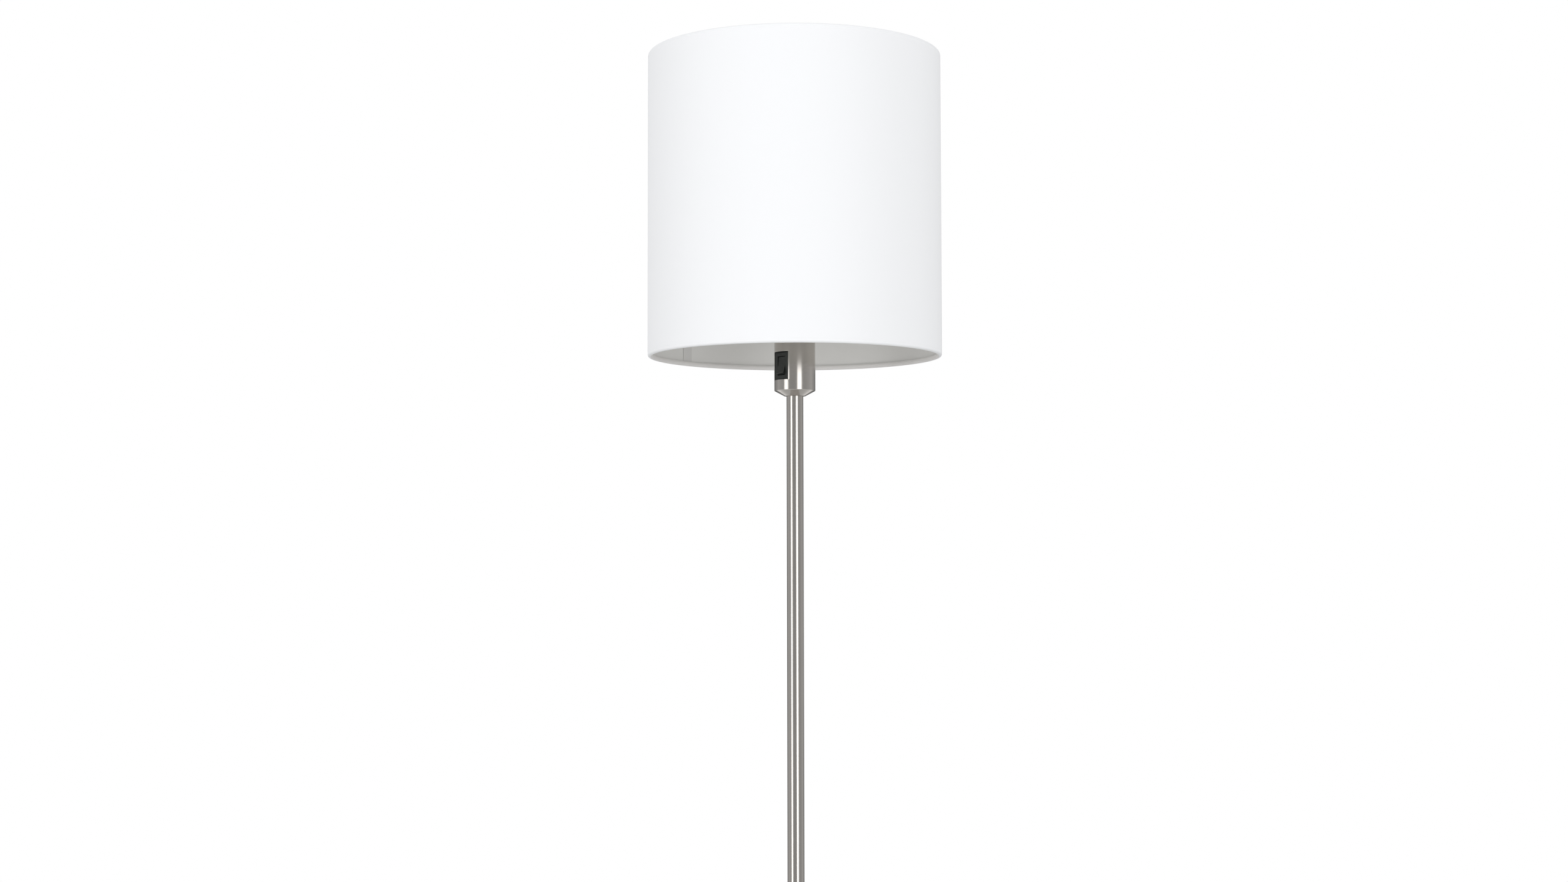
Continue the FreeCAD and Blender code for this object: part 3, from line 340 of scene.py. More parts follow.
def wovenCloth(name, base, thread=0.42 * mm, lift=0.05 * mm):
    # plain weave in the cloth's own map, with uneven threads
    paint, tree, shader = newPaint(name, {"Roughness": 0.88, "Specular IOR Level": 0.25,
                                          "Sheen Weight": 0.08, "Sheen Roughness": 0.5})
    spot = place(tree, useUv=True)
    threads = []
    for axis in ("X", "Y"):
        wave = addNode(tree, "ShaderNodeTexWave", {"Vector": spot, "Scale": math.pi / 10 / (2 * thread),
                                                   "Distortion": 0.6, "Detail": 2, "Detail Scale": 1.5})
        wave.wave_type = "BANDS"
        wave.bands_direction = axis
        wave.wave_profile = "SIN"
        threads.append(wave.outputs["Fac"])
    wander = spread(tree, noise(tree, spot, 160, detail=2), 0.6, 1.0)
    weave = maths(tree, "MULTIPLY", maths(tree, "MULTIPLY", *threads), wander)
    slub = noise(tree, place(tree, (6, 60, 1), useUv=True), 14, detail=3)
    mottle(tree, shader, slub, base, 0.985, 0.25, 0.75)
    bump(tree, shader, weave, lift, 0.35)
    return paint


def paperLiner(name, base):
    paint, tree, shader = newPaint(name, {"Specular IOR Level": 0.35})
    cloud = noise(tree, place(tree), 9, detail=4)
    fibre = noise(tree, place(tree, (1, 1, 0.4)), 650, detail=4)
    mottle(tree, shader, cloud, base, 0.975)
    roughen(tree, shader, fibre, 0.55, 0.7)
    bump(tree, shader, fibre, 0.02 * mm, 0.4)
    return paint


def coatedWire(name, base):
    paint, tree, shader = newPaint(name, {"Coat Weight": 0.3, "Coat Roughness": 0.25})
    flow = noise(tree, place(tree), 240, detail=3)
    mottle(tree, shader, flow, base, 0.95)
    roughen(tree, shader, flow, 0.34, 0.5)
    bump(tree, shader, flow, 0.04 * mm, 0.4)
    return paint


def opalGlass(name, base):
    paint, tree, shader = newPaint(name, {"IOR": 1.45, "Subsurface Weight": 0.25, "Subsurface Scale": 0.3,
                                          "Subsurface Radius": (0.01, 0.01, 0.01)})
    frost = noise(tree, place(tree), 1400, detail=3)
    cloud = noise(tree, place(tree), 30, detail=2)
    mottle(tree, shader, cloud, base, 0.985)
    roughen(tree, shader, frost, 0.26, 0.38)
    bump(tree, shader, frost, 0.008 * mm, 0.3)
    return paint


def softInsulation(name, base):
    paint, tree, shader = newPaint(name, {})
    skin = noise(tree, place(tree), 500, detail=3)
    mottle(tree, shader, skin, base, 0.88)
    roughen(tree, shader, skin, 0.42, 0.6)
    bump(tree, shader, skin, 0.02 * mm, 0.4)
    return paint


paints = {  # one paint for each material slot
    "satin_nickel": satinNickel("drawnNickel", (20, 20, 0.02), 0.16),
    "cast_iron": sandCast("castIron", (0.10, 0.10, 0.10)),
    "pad": mouldedPlastic("rubberPad", (0.055, 0.055, 0.055), 0.85, 900, 0.08 * mm),
    "black_plastic": mouldedPlastic("blackPlastic", (0.018, 0.021, 0.019), 0.34),
    "holder_plastic": mouldedPlastic("holderPlastic", (0.025, 0.025, 0.026), 0.30),
    "zinc_steel": pressedSteel("zincSteel", (0.66, 0.66, 0.64), 0.36),
    "brass": pressedSteel("brass", (0.76, 0.60, 0.32), 0.28),
    "fabric": wovenCloth("whiteCloth", (0.918, 0.927, 0.944)),
    "liner": paperLiner("liner", (0.80, 0.795, 0.775)),
    "white_wire": coatedWire("whiteWire", (0.86, 0.86, 0.84)),
    "bulb_white": opalGlass("opalBulb", (0.90, 0.90, 0.88)),
    "bulb_metal": pressedSteel("bulbShellMetal", (0.78, 0.78, 0.77), 0.25),
    "ceramic": mouldedPlastic("blackGlassInsulator", (0.03, 0.03, 0.034), 0.15),
    "lead_sheath": softInsulation("leadSheath", (0.035, 0.035, 0.036)),
    "brown_core": softInsulation("brownCore", (0.20, 0.09, 0.045)),
    "blue_core": softInsulation("blueCore", (0.05, 0.13, 0.36)),
}
turnedNickel = satinNickel("turnedNickel", (0.2, 0.2, 12), 0.18)  # its grain runs round the piece
# painted shade: the hem inside the shade is given a darker cloth colour for the shade that falls there
hemClothPaintedShade = wovenCloth("hemClothPaintedShade", (0.80, 0.785, 0.77))
# painted shade: the doubled strip inside is darker than the liner, for the light that the doubled wall holds
# back
seamTapePaintedShade = paperLiner("seamTapePaintedShade", (0.71, 0.705, 0.69))
print("lamp: paints ready,", len(paints) + 3)


shade = {
    "segments": 288,
    "cloth": 0.4 * mm,
    "liner": 0.5 * mm,
    "wire": 3 * mm,
    "play": 0.4 * mm,         # between the hem and its wire ring
    "tuck": 0.1 * mm,         # how far the hem and the doubled strip stand off the liner
    "corner": 0.72,           # 1 is a round rim, less is squarer
    "crease": 0.12 * mm,      # how far the cloth draws in beside each rim
    "creaseLevels": (0.6 * mm, 1.1 * mm, 1.7 * mm),
    "wallLevels": (0.03, 0.25, 0.5, 0.75, 0.97),
    "hemSteps": 24,
    "cornerSteps": 12,
    "armAngle": 137.5,
    "notchWide": 5 * mm,      # the hem is cut away where an arm meets the bottom ring
    "notchDeep": 2.2,         # in wires, from the ring's centre
    "notchPast": 1 * mm,
    "linerEdge": 0.1 * mm,
    "seamAngle": 187.5,       # where the doubled strip inside begins, and the lap's middle
    "seamWidth": 12 * mm,
    "lapWidth": 12 * mm,
    "lapRise": 0.17 * mm,     # from the cloth's face to the middle of its lap
    "lapInset": 5.2 * mm,
}
clothLow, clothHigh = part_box("shade_fabric")
shadeRadius = clothHigh.x
linerRadius = shadeRadius - shade["cloth"]
linerBore = linerRadius - shade["liner"]


def makeCloth():
    half = shade["cloth"] / 2
    wireCentre = linerBore - shade["play"] - shade["wire"] / 2
    hem = shade["wire"] / 2 + shade["play"] + shade["cloth"]
    edge = shadeRadius - wireCentre

    def rim(height, way):  # the cloth's centre line, from its tucked end round the ring to its outer face
        line = [(linerBore - shade["tuck"], height + way * (2 * hem - half))]
        for step in range(shade["hemSteps"] + 1):
            angle = math.radians(90 + 180 * step / shade["hemSteps"])
            line.append((wireCentre + (hem - half) * math.cos(angle),
                         height + way * (hem + (hem - half) * math.sin(angle))))
        for step in range(1, shade["cornerSteps"]):
            angle = math.radians(90 * step / shade["cornerSteps"])
            line.append((wireCentre + (edge - half) * math.sin(angle) ** shade["corner"],
                         height + way * (edge - (edge - half) * math.cos(angle) ** shade["corner"])))
        face = shadeRadius - half
        drawn, nearly, out = shade["creaseLevels"]
        line.append((face - shade["crease"], height + way * edge))
        line.append((face - shade["crease"], height + way * (edge + drawn)))
        line.append((face - 0.2 * shade["crease"], height + way * (edge + nearly)))
        line.append((face, height + way * (edge + out)))
        return line

    bottom = rim(clothLow.z, 1)
    top = rim(clothHigh.z, -1)
    tall = clothHigh.z - clothLow.z
    wall = [(shadeRadius - half, clothLow.z + tall * share) for share in shade["wallLevels"]]
    cloth = turned("shadeCloth", bottom + wall + top[::-1], shade["segments"], closed=False)
    pickOnly(cloth)
    bpy.ops.object.mode_set(mode="EDIT")
    bpy.ops.mesh.select_all(action="SELECT")
    bpy.ops.mesh.normals_make_consistent(inside=False)
    bpy.ops.object.mode_set(mode="OBJECT")
    thick = cloth.modifiers.new("cloth", "SOLIDIFY")
    thick.thickness = shade["cloth"]
    thick.offset = 0
    thick.use_even_offset = True
    applyAll(cloth)
    side, past = shade["notchWide"] / 2, shade["notchPast"]
    for arm in range(3):
        notch = blockTool((wireCentre - shade["notchDeep"] * shade["wire"], -side, clothLow.z - past),
                          (wireCentre - shade["wire"] / 2, side, clothLow.z + 2 * hem + past),
                          shade["armAngle"] + 120 * arm)
        carved(cloth, notch)
    closeUp(cloth)
    sheetMap(cloth, shadeRadius)
    smooth(cloth, 50)
    finish(cloth, "shade", paints["fabric"], "fabric", "shade_fabric")
    cloth.data.materials.append(hemClothPaintedShade)  # the hem's inner side gets a darker cloth: painted shade, for the shade inside the shade
    for face in cloth.data.polygons:
        if math.hypot(face.center.x, face.center.y) < wireCentre + 0.2 * mm:
            face.material_index = 1
    hemLength = math.pi * (hem - half) + math.pi / 2 * (edge - half) + linerBore - wireCentre
    return cloth, tall - 2 * edge + 2 * hemLength


def arcStrip(name, radius, thick, width, low, high, angle, steps=24):  # a bowed strip with eased edges
    clearSelection()
    bpy.ops.mesh.primitive_cube_add(size=1, location=(radius, 0, (low + high) / 2))
    strip = bpy.context.object
    strip.scale = (thick, width, high - low)
    applyPlace(strip)
    pickOnly(strip)
    bpy.ops.object.mode_set(mode="EDIT")
    for step in range(1, steps):
        across = -width / 2 + width * step / steps
        bpy.ops.mesh.select_all(action="SELECT")
        bpy.ops.mesh.bisect(plane_co=(0, across, 0), plane_no=(0, 1, 0))
    bpy.ops.object.mode_set(mode="OBJECT")
    for vertex in strip.data.vertices:  # bowed to the wall
        turn = math.radians(angle) + vertex.co.y / radius
        reach = vertex.co.x
        vertex.co = (reach * math.cos(turn), reach * math.sin(turn), vertex.co.z)
    closeUp(strip)
    eased(strip, thick * 0.3, 2, 60)
    strip.name = strip.data.name = name
    return strip


def makeLiner():
    low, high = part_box("shade_liner")
    edge, outer = shade["linerEdge"], linerRadius - 0.02 * mm  # glue
    corners = [(linerBore, low.z, edge), (outer, low.z, edge), (outer, high.z, edge), (linerBore, high.z, edge)]
    liner = turned("shadeLiner", rounded(corners, 2), shade["segments"])
    smooth(liner)
    finish(liner, "shade", paints["liner"], "liner", "shade_liner")


def makeSeam():
    low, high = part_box("shade_seam_strip")
    middle = linerBore - shade["tuck"] - shade["liner"] / 2
    angle = shade["seamAngle"] + math.degrees(shade["seamWidth"] / 2 / middle)
    strip = arcStrip("shadeSeamStrip", middle, shade["liner"], shade["seamWidth"], low.z, high.z, angle)
    smooth(strip, 30)
    # the doubled strip gets its darker colour: painted shade
    finish(strip, "shade", seamTapePaintedShade, "liner", "shade_seam_strip")
    bottom, top = clothLow.z + shade["lapInset"], clothHigh.z - shade["lapInset"]
    lap = arcStrip("shadeClothLap", shadeRadius + shade["lapRise"], shade["cloth"], shade["lapWidth"],
                   bottom, top, shade["seamAngle"])
    sheetMap(lap, shadeRadius)
    smooth(lap, 30)
    finish(lap, "shade", paints["fabric"], "fabric")
    return lap, top - bottom


cloth, clothHeight = makeCloth()
makeLiner()
lap, lapHeight = makeSeam()
print("lamp: shade cloth, liner and seam done")


carrier = {
    "wire": 1.5 * mm,         # radius
    "bend": 12 * mm,
    "inset": 2.8 * mm,        # the arms' ends lie this far in from the carrier ring's rim
    "endLong": 0.5 * mm,
    "endShare": 0.55,         # how narrow an arm's end is
    "weld": 1.33 * mm,        # radius
    "bore": 20.5 * mm,        # radius
    "edge": 0.35 * mm,
    "gripEdge": 0.22 * mm,    # of the knurled rings
}


def makeArms():
    low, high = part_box("shade_arms")
    ringLow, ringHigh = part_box("shade_bottom_ring")
    wire, bend, endLong, endShare = carrier["wire"], carrier["bend"], carrier["endLong"], carrier["endShare"]
    reach = ringHigh.y - 3 * wire  # the arm stands inside the ring, touching it
    level = high.z - wire
    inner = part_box("shade_carrier_ring")[1].y - carrier["inset"]
    clearSelection()
    bpy.ops.mesh.primitive_circle_add(vertices=24, radius=wire * endShare, location=(reach, 0, low.z))
    arm = bpy.context.object
    applyPlace(arm)
    bpy.ops.object.mode_set(mode="EDIT")
    bpy.ops.mesh.select_all(action="SELECT")
    bpy.ops.mesh.edge_face_add()
    bpy.ops.mesh.extrude_region_move(TRANSFORM_OT_translate={"value": (0, 0, endLong)})
    bpy.ops.transform.resize(value=(1 / endShare, 1 / endShare, 1), center_override=(reach, 0, low.z))
    rise = level - bend - low.z - endLong
    bpy.ops.mesh.extrude_region_move(TRANSFORM_OT_translate={"value": (0, 0, rise)})
    bpy.ops.mesh.spin(steps=16, angle=-math.pi / 2, center=(reach - bend, 0, level - bend), axis=(0, 1, 0))
    run = reach - bend - inner - endLong
    bpy.ops.mesh.extrude_region_move(TRANSFORM_OT_translate={"value": (-run, 0, 0)})
    bpy.ops.mesh.extrude_region_move(TRANSFORM_OT_translate={"value": (-endLong, 0, 0)})
    bpy.ops.transform.resize(value=(1, endShare, endShare), center_override=(inner, 0, level))
    closeUp(arm, 5e-6)
    # a spot of weld on the ring, and one under the carrier: place and shape
    welds = [((reach + 0.9 * wire, 0, ringLow.z + 1.1 * wire), (0.9, 1.5, 0.8)),
             ((inner + 1.6 * mm, 0, high.z - 0.5 * mm), (1.6, 1.35, 0.36))]
    parts = [arm]
    for spot, shape in welds:
        clearSelection()
        bpy.ops.mesh.primitive_uv_sphere_add(segments=20, ring_count=12, radius=carrier["weld"], location=spot)
        blob = bpy.context.object
        blob.scale = shape
        applyPlace(blob)
        parts.append(blob)
    arm = oneMesh("shadeArm", parts)
    smooth(arm, 40)
    arms = oneMesh("shadeArms", [arm, copyTurned(arm, 120), copyTurned(arm, 240)])
    arms.data.transform(Matrix.Rotation(math.radians(shade["armAngle"]), 4, "Z"))
    finish(arms, "shade", paints["white_wire"], "white_wire", "shade_arms")


def makeCarrier():
    low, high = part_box("shade_carrier_ring")
    bore, edge = carrier["bore"], carrier["edge"]
    corners = [(bore, low.z, edge), (high.y, low.z, edge), (high.y, high.z, edge), (bore, high.z, edge)]
    ring = turned("shadeCarrierRing", rounded(corners), 128)
    smooth(ring)
    finish(ring, "shade", paints["white_wire"], "white_wire", "shade_carrier_ring")


def makeGripRing(name, nodeName):
    ring = copyOfNode(name, nodeName)
    eased(ring, carrier["gripEdge"], 2, 50)
    smooth(ring, 40)
    finish(ring, "stand", paints["holder_plastic"], "holder_plastic", nodeName)


makeArms()
makeCarrier()
makeGripRing("shadeSeatRing", "shade_seat_ring")
makeGripRing("shadeClampRing", "shade_clamp_ring")
print("lamp: shade frame and rings done")


cup = {
    "segments": 256,
    "wall": 1.0 * mm,
    "noseAngle": 28,
    "noseRadius": 10 * mm,
    "boreRadius": 5.05 * mm,
    "screwHole": 1.6 * mm,    # radius
    "screwDrop": 16 * mm,
    "windowWide": 20 * mm,
    "windowHigh": 26.6 * mm,
    "windowDeep": 2.6 * mm,
    "rollWide": 1.5 * mm,     # the punched window's edge is drawn in a little
    "rollDeep": 0.13 * mm,
    "rollAbove": 0.3,         # share of that depth above and below the window
    "rollSteps": 4,
}


def makeCup():
    low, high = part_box("holder_cup")
    radius, wall, nose, bore = high.x, cup["wall"], cup["noseRadius"], cup["boreRadius"]
    halfWide, halfHigh = cup["windowWide"] / 2, cup["windowHigh"] / 2
    shoulder = low.z + (radius - nose) * math.tan(math.radians(cup["noseAngle"]))
    inner = shoulder + wall * math.tan(math.radians(45 - cup["noseAngle"] / 2))
    floorCorner = nose - wall * math.tan(math.radians(cup["noseAngle"] / 2))
    corners = [
        (bore, low.z, 0), (nose, low.z, 0.5 * mm), (radius, shoulder, 0.7 * mm), (radius, high.z, 0.25 * mm),
        (radius - wall, high.z, 0.25 * mm), (radius - wall, inner, 0.5 * mm),
        (floorCorner, low.z + wall, 0.4 * mm), (bore, low.z + wall, 0),
    ]
    piece = turned("holderCup", rounded(corners, 5), cup["segments"])
    switchLow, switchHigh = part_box("switch_case")
    middle = (switchLow.z + switchHigh.z) / 2
    pickOnly(piece)
    bpy.ops.object.mode_set(mode="EDIT")
    for side in (-1, 1):  # rings of vertices for the rolled edge
        for step in range(cup["rollSteps"] + 1):
            level = middle + side * (halfHigh + cup["rollWide"] * step / cup["rollSteps"])
            bpy.ops.mesh.select_all(action="SELECT")
            bpy.ops.mesh.bisect(plane_co=(0, 0, level), plane_no=(0, 0, 1))
    bpy.ops.object.mode_set(mode="OBJECT")
    face = math.sqrt(radius ** 2 - halfWide ** 2)  # where the window's sides meet the cup's face
    carved(piece, blockTool((-halfWide, -radius - overcut, middle - halfHigh),
                            (halfWide, -face + cup["windowDeep"], middle + halfHigh)))
    level, end = high.z - cup["screwDrop"], radius + overcut
    carved(piece, rodTool(cup["screwHole"], (-end, 0, level), (end, 0, level)))
    closeUp(piece, 1e-6)
    for vertex in piece.data.vertices:
        if vertex.co.y < 0 and math.hypot(vertex.co.x, vertex.co.y) > radius - 0.01 * mm:
            beside = max(abs(vertex.co.x) - halfWide, 0)
            away = math.hypot(beside, max(abs(vertex.co.z - middle) - halfHigh, 0))
            if away < cup["rollWide"]:
                least = cup["rollAbove"]
                deep = cup["rollDeep"] * (least + (1 - least) * beside / max(away, 1e-6))
                share = 1 - deep * (1 - away / cup["rollWide"]) ** 2 / radius
                vertex.co.x *= share
                vertex.co.y *= share
    smooth(piece, 30)
    finish(piece, "stand", turnedNickel, "satin_nickel", "holder_cup")


cupScrew = {
    "length": 4 * mm,
    "shank": 1.5 * mm,        # radius
    "point": 1.1 * mm,        # radius of its blunt end
    "head": 2.7 * mm,         # radius
    "headHigh": 1.8 * mm,
    "brimHigh": 0.8 * mm,
    "crown": 1.7 * mm,        # radius where the head's dome flattens
    "slotLong": 1.35 * mm,
    "slotWide": 0.62 * mm,
    "slotDeep": 0.9 * mm,
}


def makeCupScrews():
    low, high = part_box("cup_screws")
    top = high.x
    seat = top - cupScrew["headHigh"]
    end = seat - cupScrew["length"]
    shank, point, head = cupScrew["shank"], cupScrew["point"], cupScrew["head"]
    corners = [
        (0, end, 0), (point, end, 0), (shank, end + shank - point, 0), (shank, seat, 0),
        (head, seat, 0.1 * mm), (head, seat + cupScrew["brimHigh"], 0.5 * mm),
        (cupScrew["crown"], top - 0.05 * mm, 0.6 * mm), (0, top, 0),
    ]
    screw = turned("cupScrew", rounded(corners, 4), 64, closed=False)
    long, half = cupScrew["slotLong"], cupScrew["slotWide"] / 2
    for wide, deep in ((long, half), (half, long)):  # a cross slot
        carved(screw, blockTool((-wide, -deep, top - cupScrew["slotDeep"]), (wide, deep, top + overcut)))
    closeUp(screw, 1e-6)
    eased(screw, 0.05 * mm, 2, 45)
    smooth(screw, 35)
    second = copyTurned(screw, 45)
    lift = Matrix.Translation((0, 0, (low.z + high.z) / 2))
    screw.data.transform(lift @ Matrix.Rotation(math.radians(90), 4, "Y"))
    second.data.transform(lift @ Matrix.Rotation(math.radians(-90), 4, "Y"))
    screws = oneMesh("cupScrews", [screw, second])
    finish(screws, "stand", turnedNickel, "satin_nickel", "cup_screws")


holder = {
    "segments": 144,
    "wall": 2.3 * mm,
    "lip": 1.4 * mm,
    "lipBore": 14.3 * mm,     # radius
    "pitch": 2.2 * mm,
    "ringsATurn": 8,
    "threadDepth": 0.45 * mm,
}


def makeSkirt():
    low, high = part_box("holder_skirt")
    radius, lip, bore = high.x, holder["lip"], holder["lipBore"]
    inside = radius - holder["wall"]
    shoulder = high.z - lip
    count = int((shoulder - low.z) / (holder["pitch"] / holder["ringsATurn"]))
    corners = [(inside, low.z), (radius - 0.3 * mm, low.z)]
    corners += [(radius, low.z + (shoulder - low.z) * (ring + 0.5) / count) for ring in range(count)]
    corners += [(radius - 0.15 * mm, shoulder + 0.1 * mm), (radius - lip, high.z - 0.15 * mm),
                (radius - lip - 0.4 * mm, high.z), (bore + 0.2 * mm, high.z), (bore, high.z - 0.2 * mm),
                (bore, shoulder), (inside, shoulder)]
    skirt = turned("holderSkirt", corners, holder["segments"])
    for vertex in skirt.data.vertices:  # the outer thread that the two shade rings run on
        reach = math.hypot(vertex.co.x, vertex.co.y)
        if reach > radius - 0.01 * mm:
            turn = math.atan2(vertex.co.y, vertex.co.x) / (2 * math.pi)
            wave = 0.5 - 0.5 * math.cos(2 * math.pi * ((vertex.co.z - low.z) / holder["pitch"] - turn))
            share = 1 - holder["threadDepth"] * wave ** 0.8 / radius
            vertex.co.x *= share
            vertex.co.y *= share
    smooth(skirt, 40)
    finish(skirt, "stand", paints["holder_plastic"], "holder_plastic", "holder_skirt")


makeCup()
makeCupScrews()
makeSkirt()
print("lamp: cup and holder done")


switch = {"caseEdge": 0.12 * mm, "rockerEdge": 0.16 * mm}


def makeSwitch():
    for name, nodeName, edge, body in (("switchCase", "switch_case", switch["caseEdge"], "stand"),
                                       ("switchRocker", "switch_rocker", switch["rockerEdge"], "rocker")):
        piece = copyOfNode(name, nodeName)
        eased(piece, edge, 2, 40)
        smooth(piece, 35)
        finish(piece, body, paints["black_plastic"], "black_plastic", nodeName)


makeSwitch()
print("lamp: switch done")


bulb = {
    "segments": 128,
    "steps": 40,
    "mouth": 25 * mm,         # radius
    "glass": 1.5 * mm,
    "collarFoot": 14 * mm,    # radius
    "collarWall": 1.6 * mm,
    "collarSkirt": 3 * mm,
}


def makeBulb():
    low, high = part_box("bulb_globe")
    radius, mouth, wall, steps = high.x, bulb["mouth"], bulb["glass"], bulb["steps"]
    centre = high.z - radius

    def arc(reach, opening):  # from the mouth up to the crown
        last = math.pi - math.asin(opening / reach)
        angles = [last * step / steps for step in range(steps, -1, -1)]
        return [(reach * math.sin(angle), centre + reach * math.cos(angle)) for angle in angles]

    rings = [(mouth - wall, low.z), (mouth, low.z)] + arc(radius, mouth)
    rings += arc(radius - wall, mouth - wall)[::-1]
    globe = turned("bulbGlobe", rings, bulb["segments"])
    smooth(globe, 40)
    finish(globe, "stand", paints["bulb_white"], "bulb_white", "bulb_globe")

    low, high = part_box("bulb_collar")
    bottom, wide, wall = bulb["collarFoot"], high.x, bulb["collarWall"]
    skirt = low.z + bulb["collarSkirt"]
    corners = [
        (bottom - wall, low.z, 0), (bottom, low.z, 0.4 * mm), (bottom, skirt, 2.5 * mm),
        (wide, high.z - 0.01 * mm, 0.25 * mm), (wide - wall, high.z, 0.2 * mm), (bottom - wall, skirt, 1 * mm),
    ]
    collar = turned("bulbCollar", rounded(corners, 5), bulb["segments"])
    smooth(collar, 40)
    finish(collar, "stand", paints["bulb_white"], "bulb_white", "bulb_collar")


makeBulb()
print("lamp: bulb done")


column = {"segments": 128, "wall": 1.2 * mm, "chamfer": 0.25 * mm}


def makeTube(name, nodeName):
    low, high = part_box(nodeName)
    radius, edge = high.x, column["chamfer"]
    bore = radius - column["wall"]
    corners = [(bore, low.z, 0), (radius, low.z, edge), (radius, high.z, edge), (bore, high.z, 0)]
    tube = turned(name, rounded(corners, 3), column["segments"])
    smooth(tube, 30)
    finish(tube, "stand", paints["satin_nickel"], "satin_nickel", nodeName)


makeTube("poleUpper", "pole_upper")
makeTube("poleLower", "pole_lower")
print("lamp: column done")


foot = {
    "segments": 256,
    "wall": 1.2 * mm,
    "edge": 5 * mm,
    "bore": 5.05 * mm,        # radius
    "inletHole": 4.6 * mm,    # radius
    "bushEdge": 0.2 * mm,
}


def makeFoot():
    low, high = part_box("base_cover")
    radius, wall, edge, bore = high.x, foot["wall"], foot["edge"], foot["bore"]
    corners = [
        (bore, high.z, 0), (bore, high.z - wall, 0), (radius - wall, high.z - wall, edge - wall),
        (radius - wall, low.z, 0.2 * mm), (radius, low.z, 0.3 * mm), (radius, high.z, edge),
    ]
    cover = turned("baseCover", rounded(corners, 12), foot["segments"])
    inletLow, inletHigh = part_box("cord_inlet_bush")
    level = (inletLow.z + inletHigh.z) / 2
    carved(cover, rodTool(foot["inletHole"], (0, radius - overcut, level), (0, radius + overcut, level)))
    closeUp(cover, 1e-6)
    smooth(cover, 30)
    finish(cover, "stand", turnedNickel, "satin_nickel", "base_cover")

    low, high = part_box("base_pad")
    corners = [(0, low.z, 0), (high.y, low.z, 0.4 * mm), (high.y, high.z, 0.3 * mm), (0, high.z, 0)]
    pad = turned("basePad", rounded(corners, 3), 160, closed=False)
    smooth(pad, 40)
    finish(pad, "stand", paints["pad"], "pad", "base_pad")

    bush = copyOfNode("cordInletBush", "cord_inlet_bush")
    eased(bush, foot["bushEdge"], 2, 50)
    smooth(bush, 35)
    finish(bush, "stand", paints["black_plastic"], "black_plastic", "cord_inlet_bush")


makeFoot()
print("lamp: foot done")


keptFinishes = {  # the CAD nodes that show as they are
    "satin_nickel": ["head_washer"],
    "cast_iron": ["base_weight"],
    "zinc_steel": ["head_nut", "head_nipple", "joint_nipple", "foot_nipple", "pole_head_insert",
                   "pole_upper_insert", "pole_lower_insert", "pole_foot_insert", "switch_spring"],
    "holder_plastic": ["holder_cap", "holder_core"],
    "brass": ["centre_contact", "side_contact", "terminal_screws", "common_terminal", "load_terminal",
              "contact_arm", "switch_plunger"],
    "bulb_metal": ["bulb_screw_shell", "bulb_button"],
    "ceramic": ["bulb_insulator"],
    "white_wire": ["shade_bottom_ring", "shade_top_ring"],
    "lead_sheath": ["inner_lead"],
    "brown_core": ["live_wire", "switched_wire"],
    "blue_core": ["neutral_wire"],
}
for finishName, members in keptFinishes.items():
    for member in members:
        nodes[member].data.materials.clear()
        nodes[member].data.materials.append(paints[finishName])
print("lamp: kept nodes painted,", sum(len(members) for members in keptFinishes.values()))


studio = {
    "heading": 50.0,          # the camera's, in degrees to the right of the switch
    "floorRadius": 2.4,
    "floorColour": (0.62, 0.62, 0.615, 1),
    "floorFade": 0.7,         # the share of the radius over which the floor turns white
    "worldFill": 0.74,        # what the matt surfaces see
    "wallRadius": 3.4,
    "wallTall": 8,
    "wallMiddle": 3,
    # what the metal sees of the studio's walls: degrees from the camera, and grey
    "wallGreys": ((0, 0.34), (60, 0.36), (90, 0.44), (104, 0.50), (120, 0.40), (140, 0.30), (158, 0.20),
                  (180, 0.18)),
    "strips": ((-89.5, 0.84, 1.60), (-14.0, 0.92, 1.78)),  # direction in degrees, width and glow
    "stripTall": 3.1,
    "stripFar": 2.2,
    "stripMiddle": 1.15,
}


def makeFloor():
    clearSelection()
    bpy.ops.mesh.primitive_circle_add(vertices=128, radius=studio["floorRadius"], fill_type="NGON")
    floor = bpy.context.object
    floor.name = "floor"
    paint, tree, shader = newPaint("paleFloor", {"Base Color": studio["floorColour"], "Roughness": 0.9,
                                                 "Specular IOR Level": 0.1})
    # the floor fades to the white of the background towards its edge
    fade = addNode(tree, "ShaderNodeTexGradient", {"Vector": place(tree, (1 / studio["floorRadius"],) * 3)})
    fade.gradient_type = "SPHERICAL"
    share = addNode(tree, "ShaderNodeMapRange", {"Value": fade.outputs["Fac"], "From Max": studio["floorFade"]})
    share.interpolation_type = "SMOOTHERSTEP"
    away = maths(tree, "SUBTRACT", 1.0, share.outputs["Result"])
    white = addNode(tree, "ShaderNodeEmission", {"Strength": 1.0})
    mix = addNode(tree, "ShaderNodeMixShader", {0: maths(tree, "MULTIPLY", away, seenByEye(tree)),
                                                1: shader.outputs["BSDF"], 2: white.outputs["Emission"]})
    tree.links.new(mix.outputs["Shader"], tree.nodes["Material Output"].inputs["Surface"])
    floor.data.materials.append(paint)


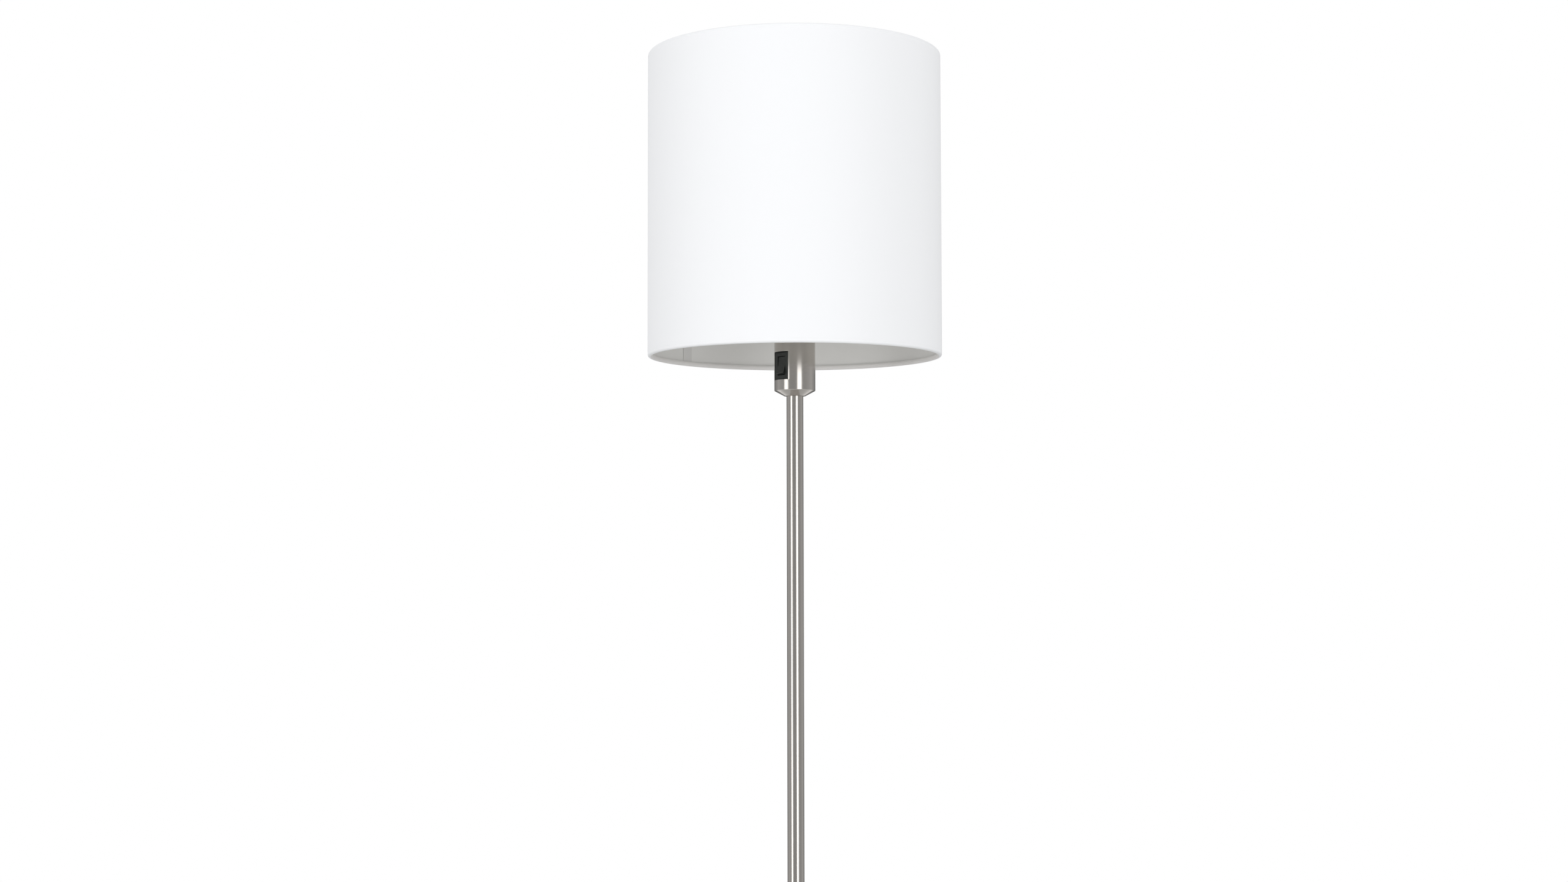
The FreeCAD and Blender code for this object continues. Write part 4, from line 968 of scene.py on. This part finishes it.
def makeWalls():  # grey studio walls, which only the gloss of the metal and plastic sees
    clearSelection()
    bpy.ops.mesh.primitive_cylinder_add(vertices=96, radius=studio["wallRadius"], depth=studio["wallTall"],
                                        location=(0, 0, studio["wallMiddle"]), end_fill_type="NOTHING")
    walls = bpy.context.object
    walls.name = "studioWalls"
    paint, tree, shader = newPaint("studioGrey", {})
    tree.nodes.remove(shader)
    fromCamera = place(tree, turn=(0, 0, math.radians(90 - studio["heading"])))
    around = addNode(tree, "ShaderNodeTexGradient", {"Vector": fromCamera})
    around.gradient_type = "RADIAL"
    stops = [((180 - degrees) / 360, (grey,) * 3) for degrees, grey in studio["wallGreys"][::-1]]
    stops += [((180 + degrees) / 360, (grey,) * 3) for degrees, grey in studio["wallGreys"][1:]]
    glow = addNode(tree, "ShaderNodeEmission", {"Color": ramp(tree, around.outputs["Color"], stops)})
    tree.links.new(glow.outputs["Emission"], tree.nodes["Material Output"].inputs["Surface"])
    walls.data.materials.append(paint)
    for kind in ("camera", "diffuse", "transmission", "shadow", "volume_scatter"):
        setattr(walls, "visible_" + kind, False)


def makeLamps():
    for index, (direction, wide, glow) in enumerate(studio["strips"]):
        toLamp = Matrix.Rotation(math.radians(direction), 3, "Z") @ Vector((1, 0, 0))
        data = bpy.data.lights.new(f"strip{index}", "AREA")
        data.shape = "RECTANGLE"
        data.size = wide
        data.size_y = studio["stripTall"]
        data.energy = glow * math.pi * wide * studio["stripTall"]
        lamp = bpy.data.objects.new(f"strip{index}", data)
        scene.collection.objects.link(lamp)
        lamp.location = toLamp * studio["stripFar"] + Vector((0, 0, studio["stripMiddle"]))
        lamp.rotation_euler = (-toLamp).to_track_quat("-Z", "Y").to_euler()


def makeWorld():
    world = bpy.data.worlds.new("studio")
    scene.world = world
    world.use_nodes = True
    tree = world.node_tree
    background = tree.nodes["Background"]
    background.inputs["Color"].default_value = (1, 1, 1, 1)
    tree.links.new(spread(tree, seenByEye(tree), studio["worldFill"], 1.0), background.inputs["Strength"])


photoView = {
    "distance": 2.3045,
    "height": 0.9868,         # below the shade, so the camera looks up
    "rise": 3.56,
    "roll": -0.12,
    "aside": 0.26,
    "lens": 55.79,
}


def makeCamera():
    data = bpy.data.cameras.new("photoCamera")
    data.sensor_width = 36
    data.lens = photoView["lens"]
    camera = bpy.data.objects.new("photoCamera", data)
    scene.collection.objects.link(camera)
    turn = math.radians(studio["heading"])
    distance = photoView["distance"]
    stand = Vector((math.sin(turn) * distance, -math.cos(turn) * distance, photoView["height"]))
    aside = Matrix.Rotation(math.radians(studio["heading"] + photoView["aside"]), 4, "Z")
    rise = Matrix.Rotation(math.radians(90 + photoView["rise"]), 4, "X")
    roll = Matrix.Rotation(math.radians(photoView["roll"]), 4, "Z")
    camera.matrix_world = Matrix.Translation(stand) @ aside @ rise @ roll
    scene.camera = camera


makeFloor()
makeWalls()
makeLamps()
makeWorld()
makeCamera()
scene.view_settings.view_transform = "Standard"
print("lamp: studio ready")
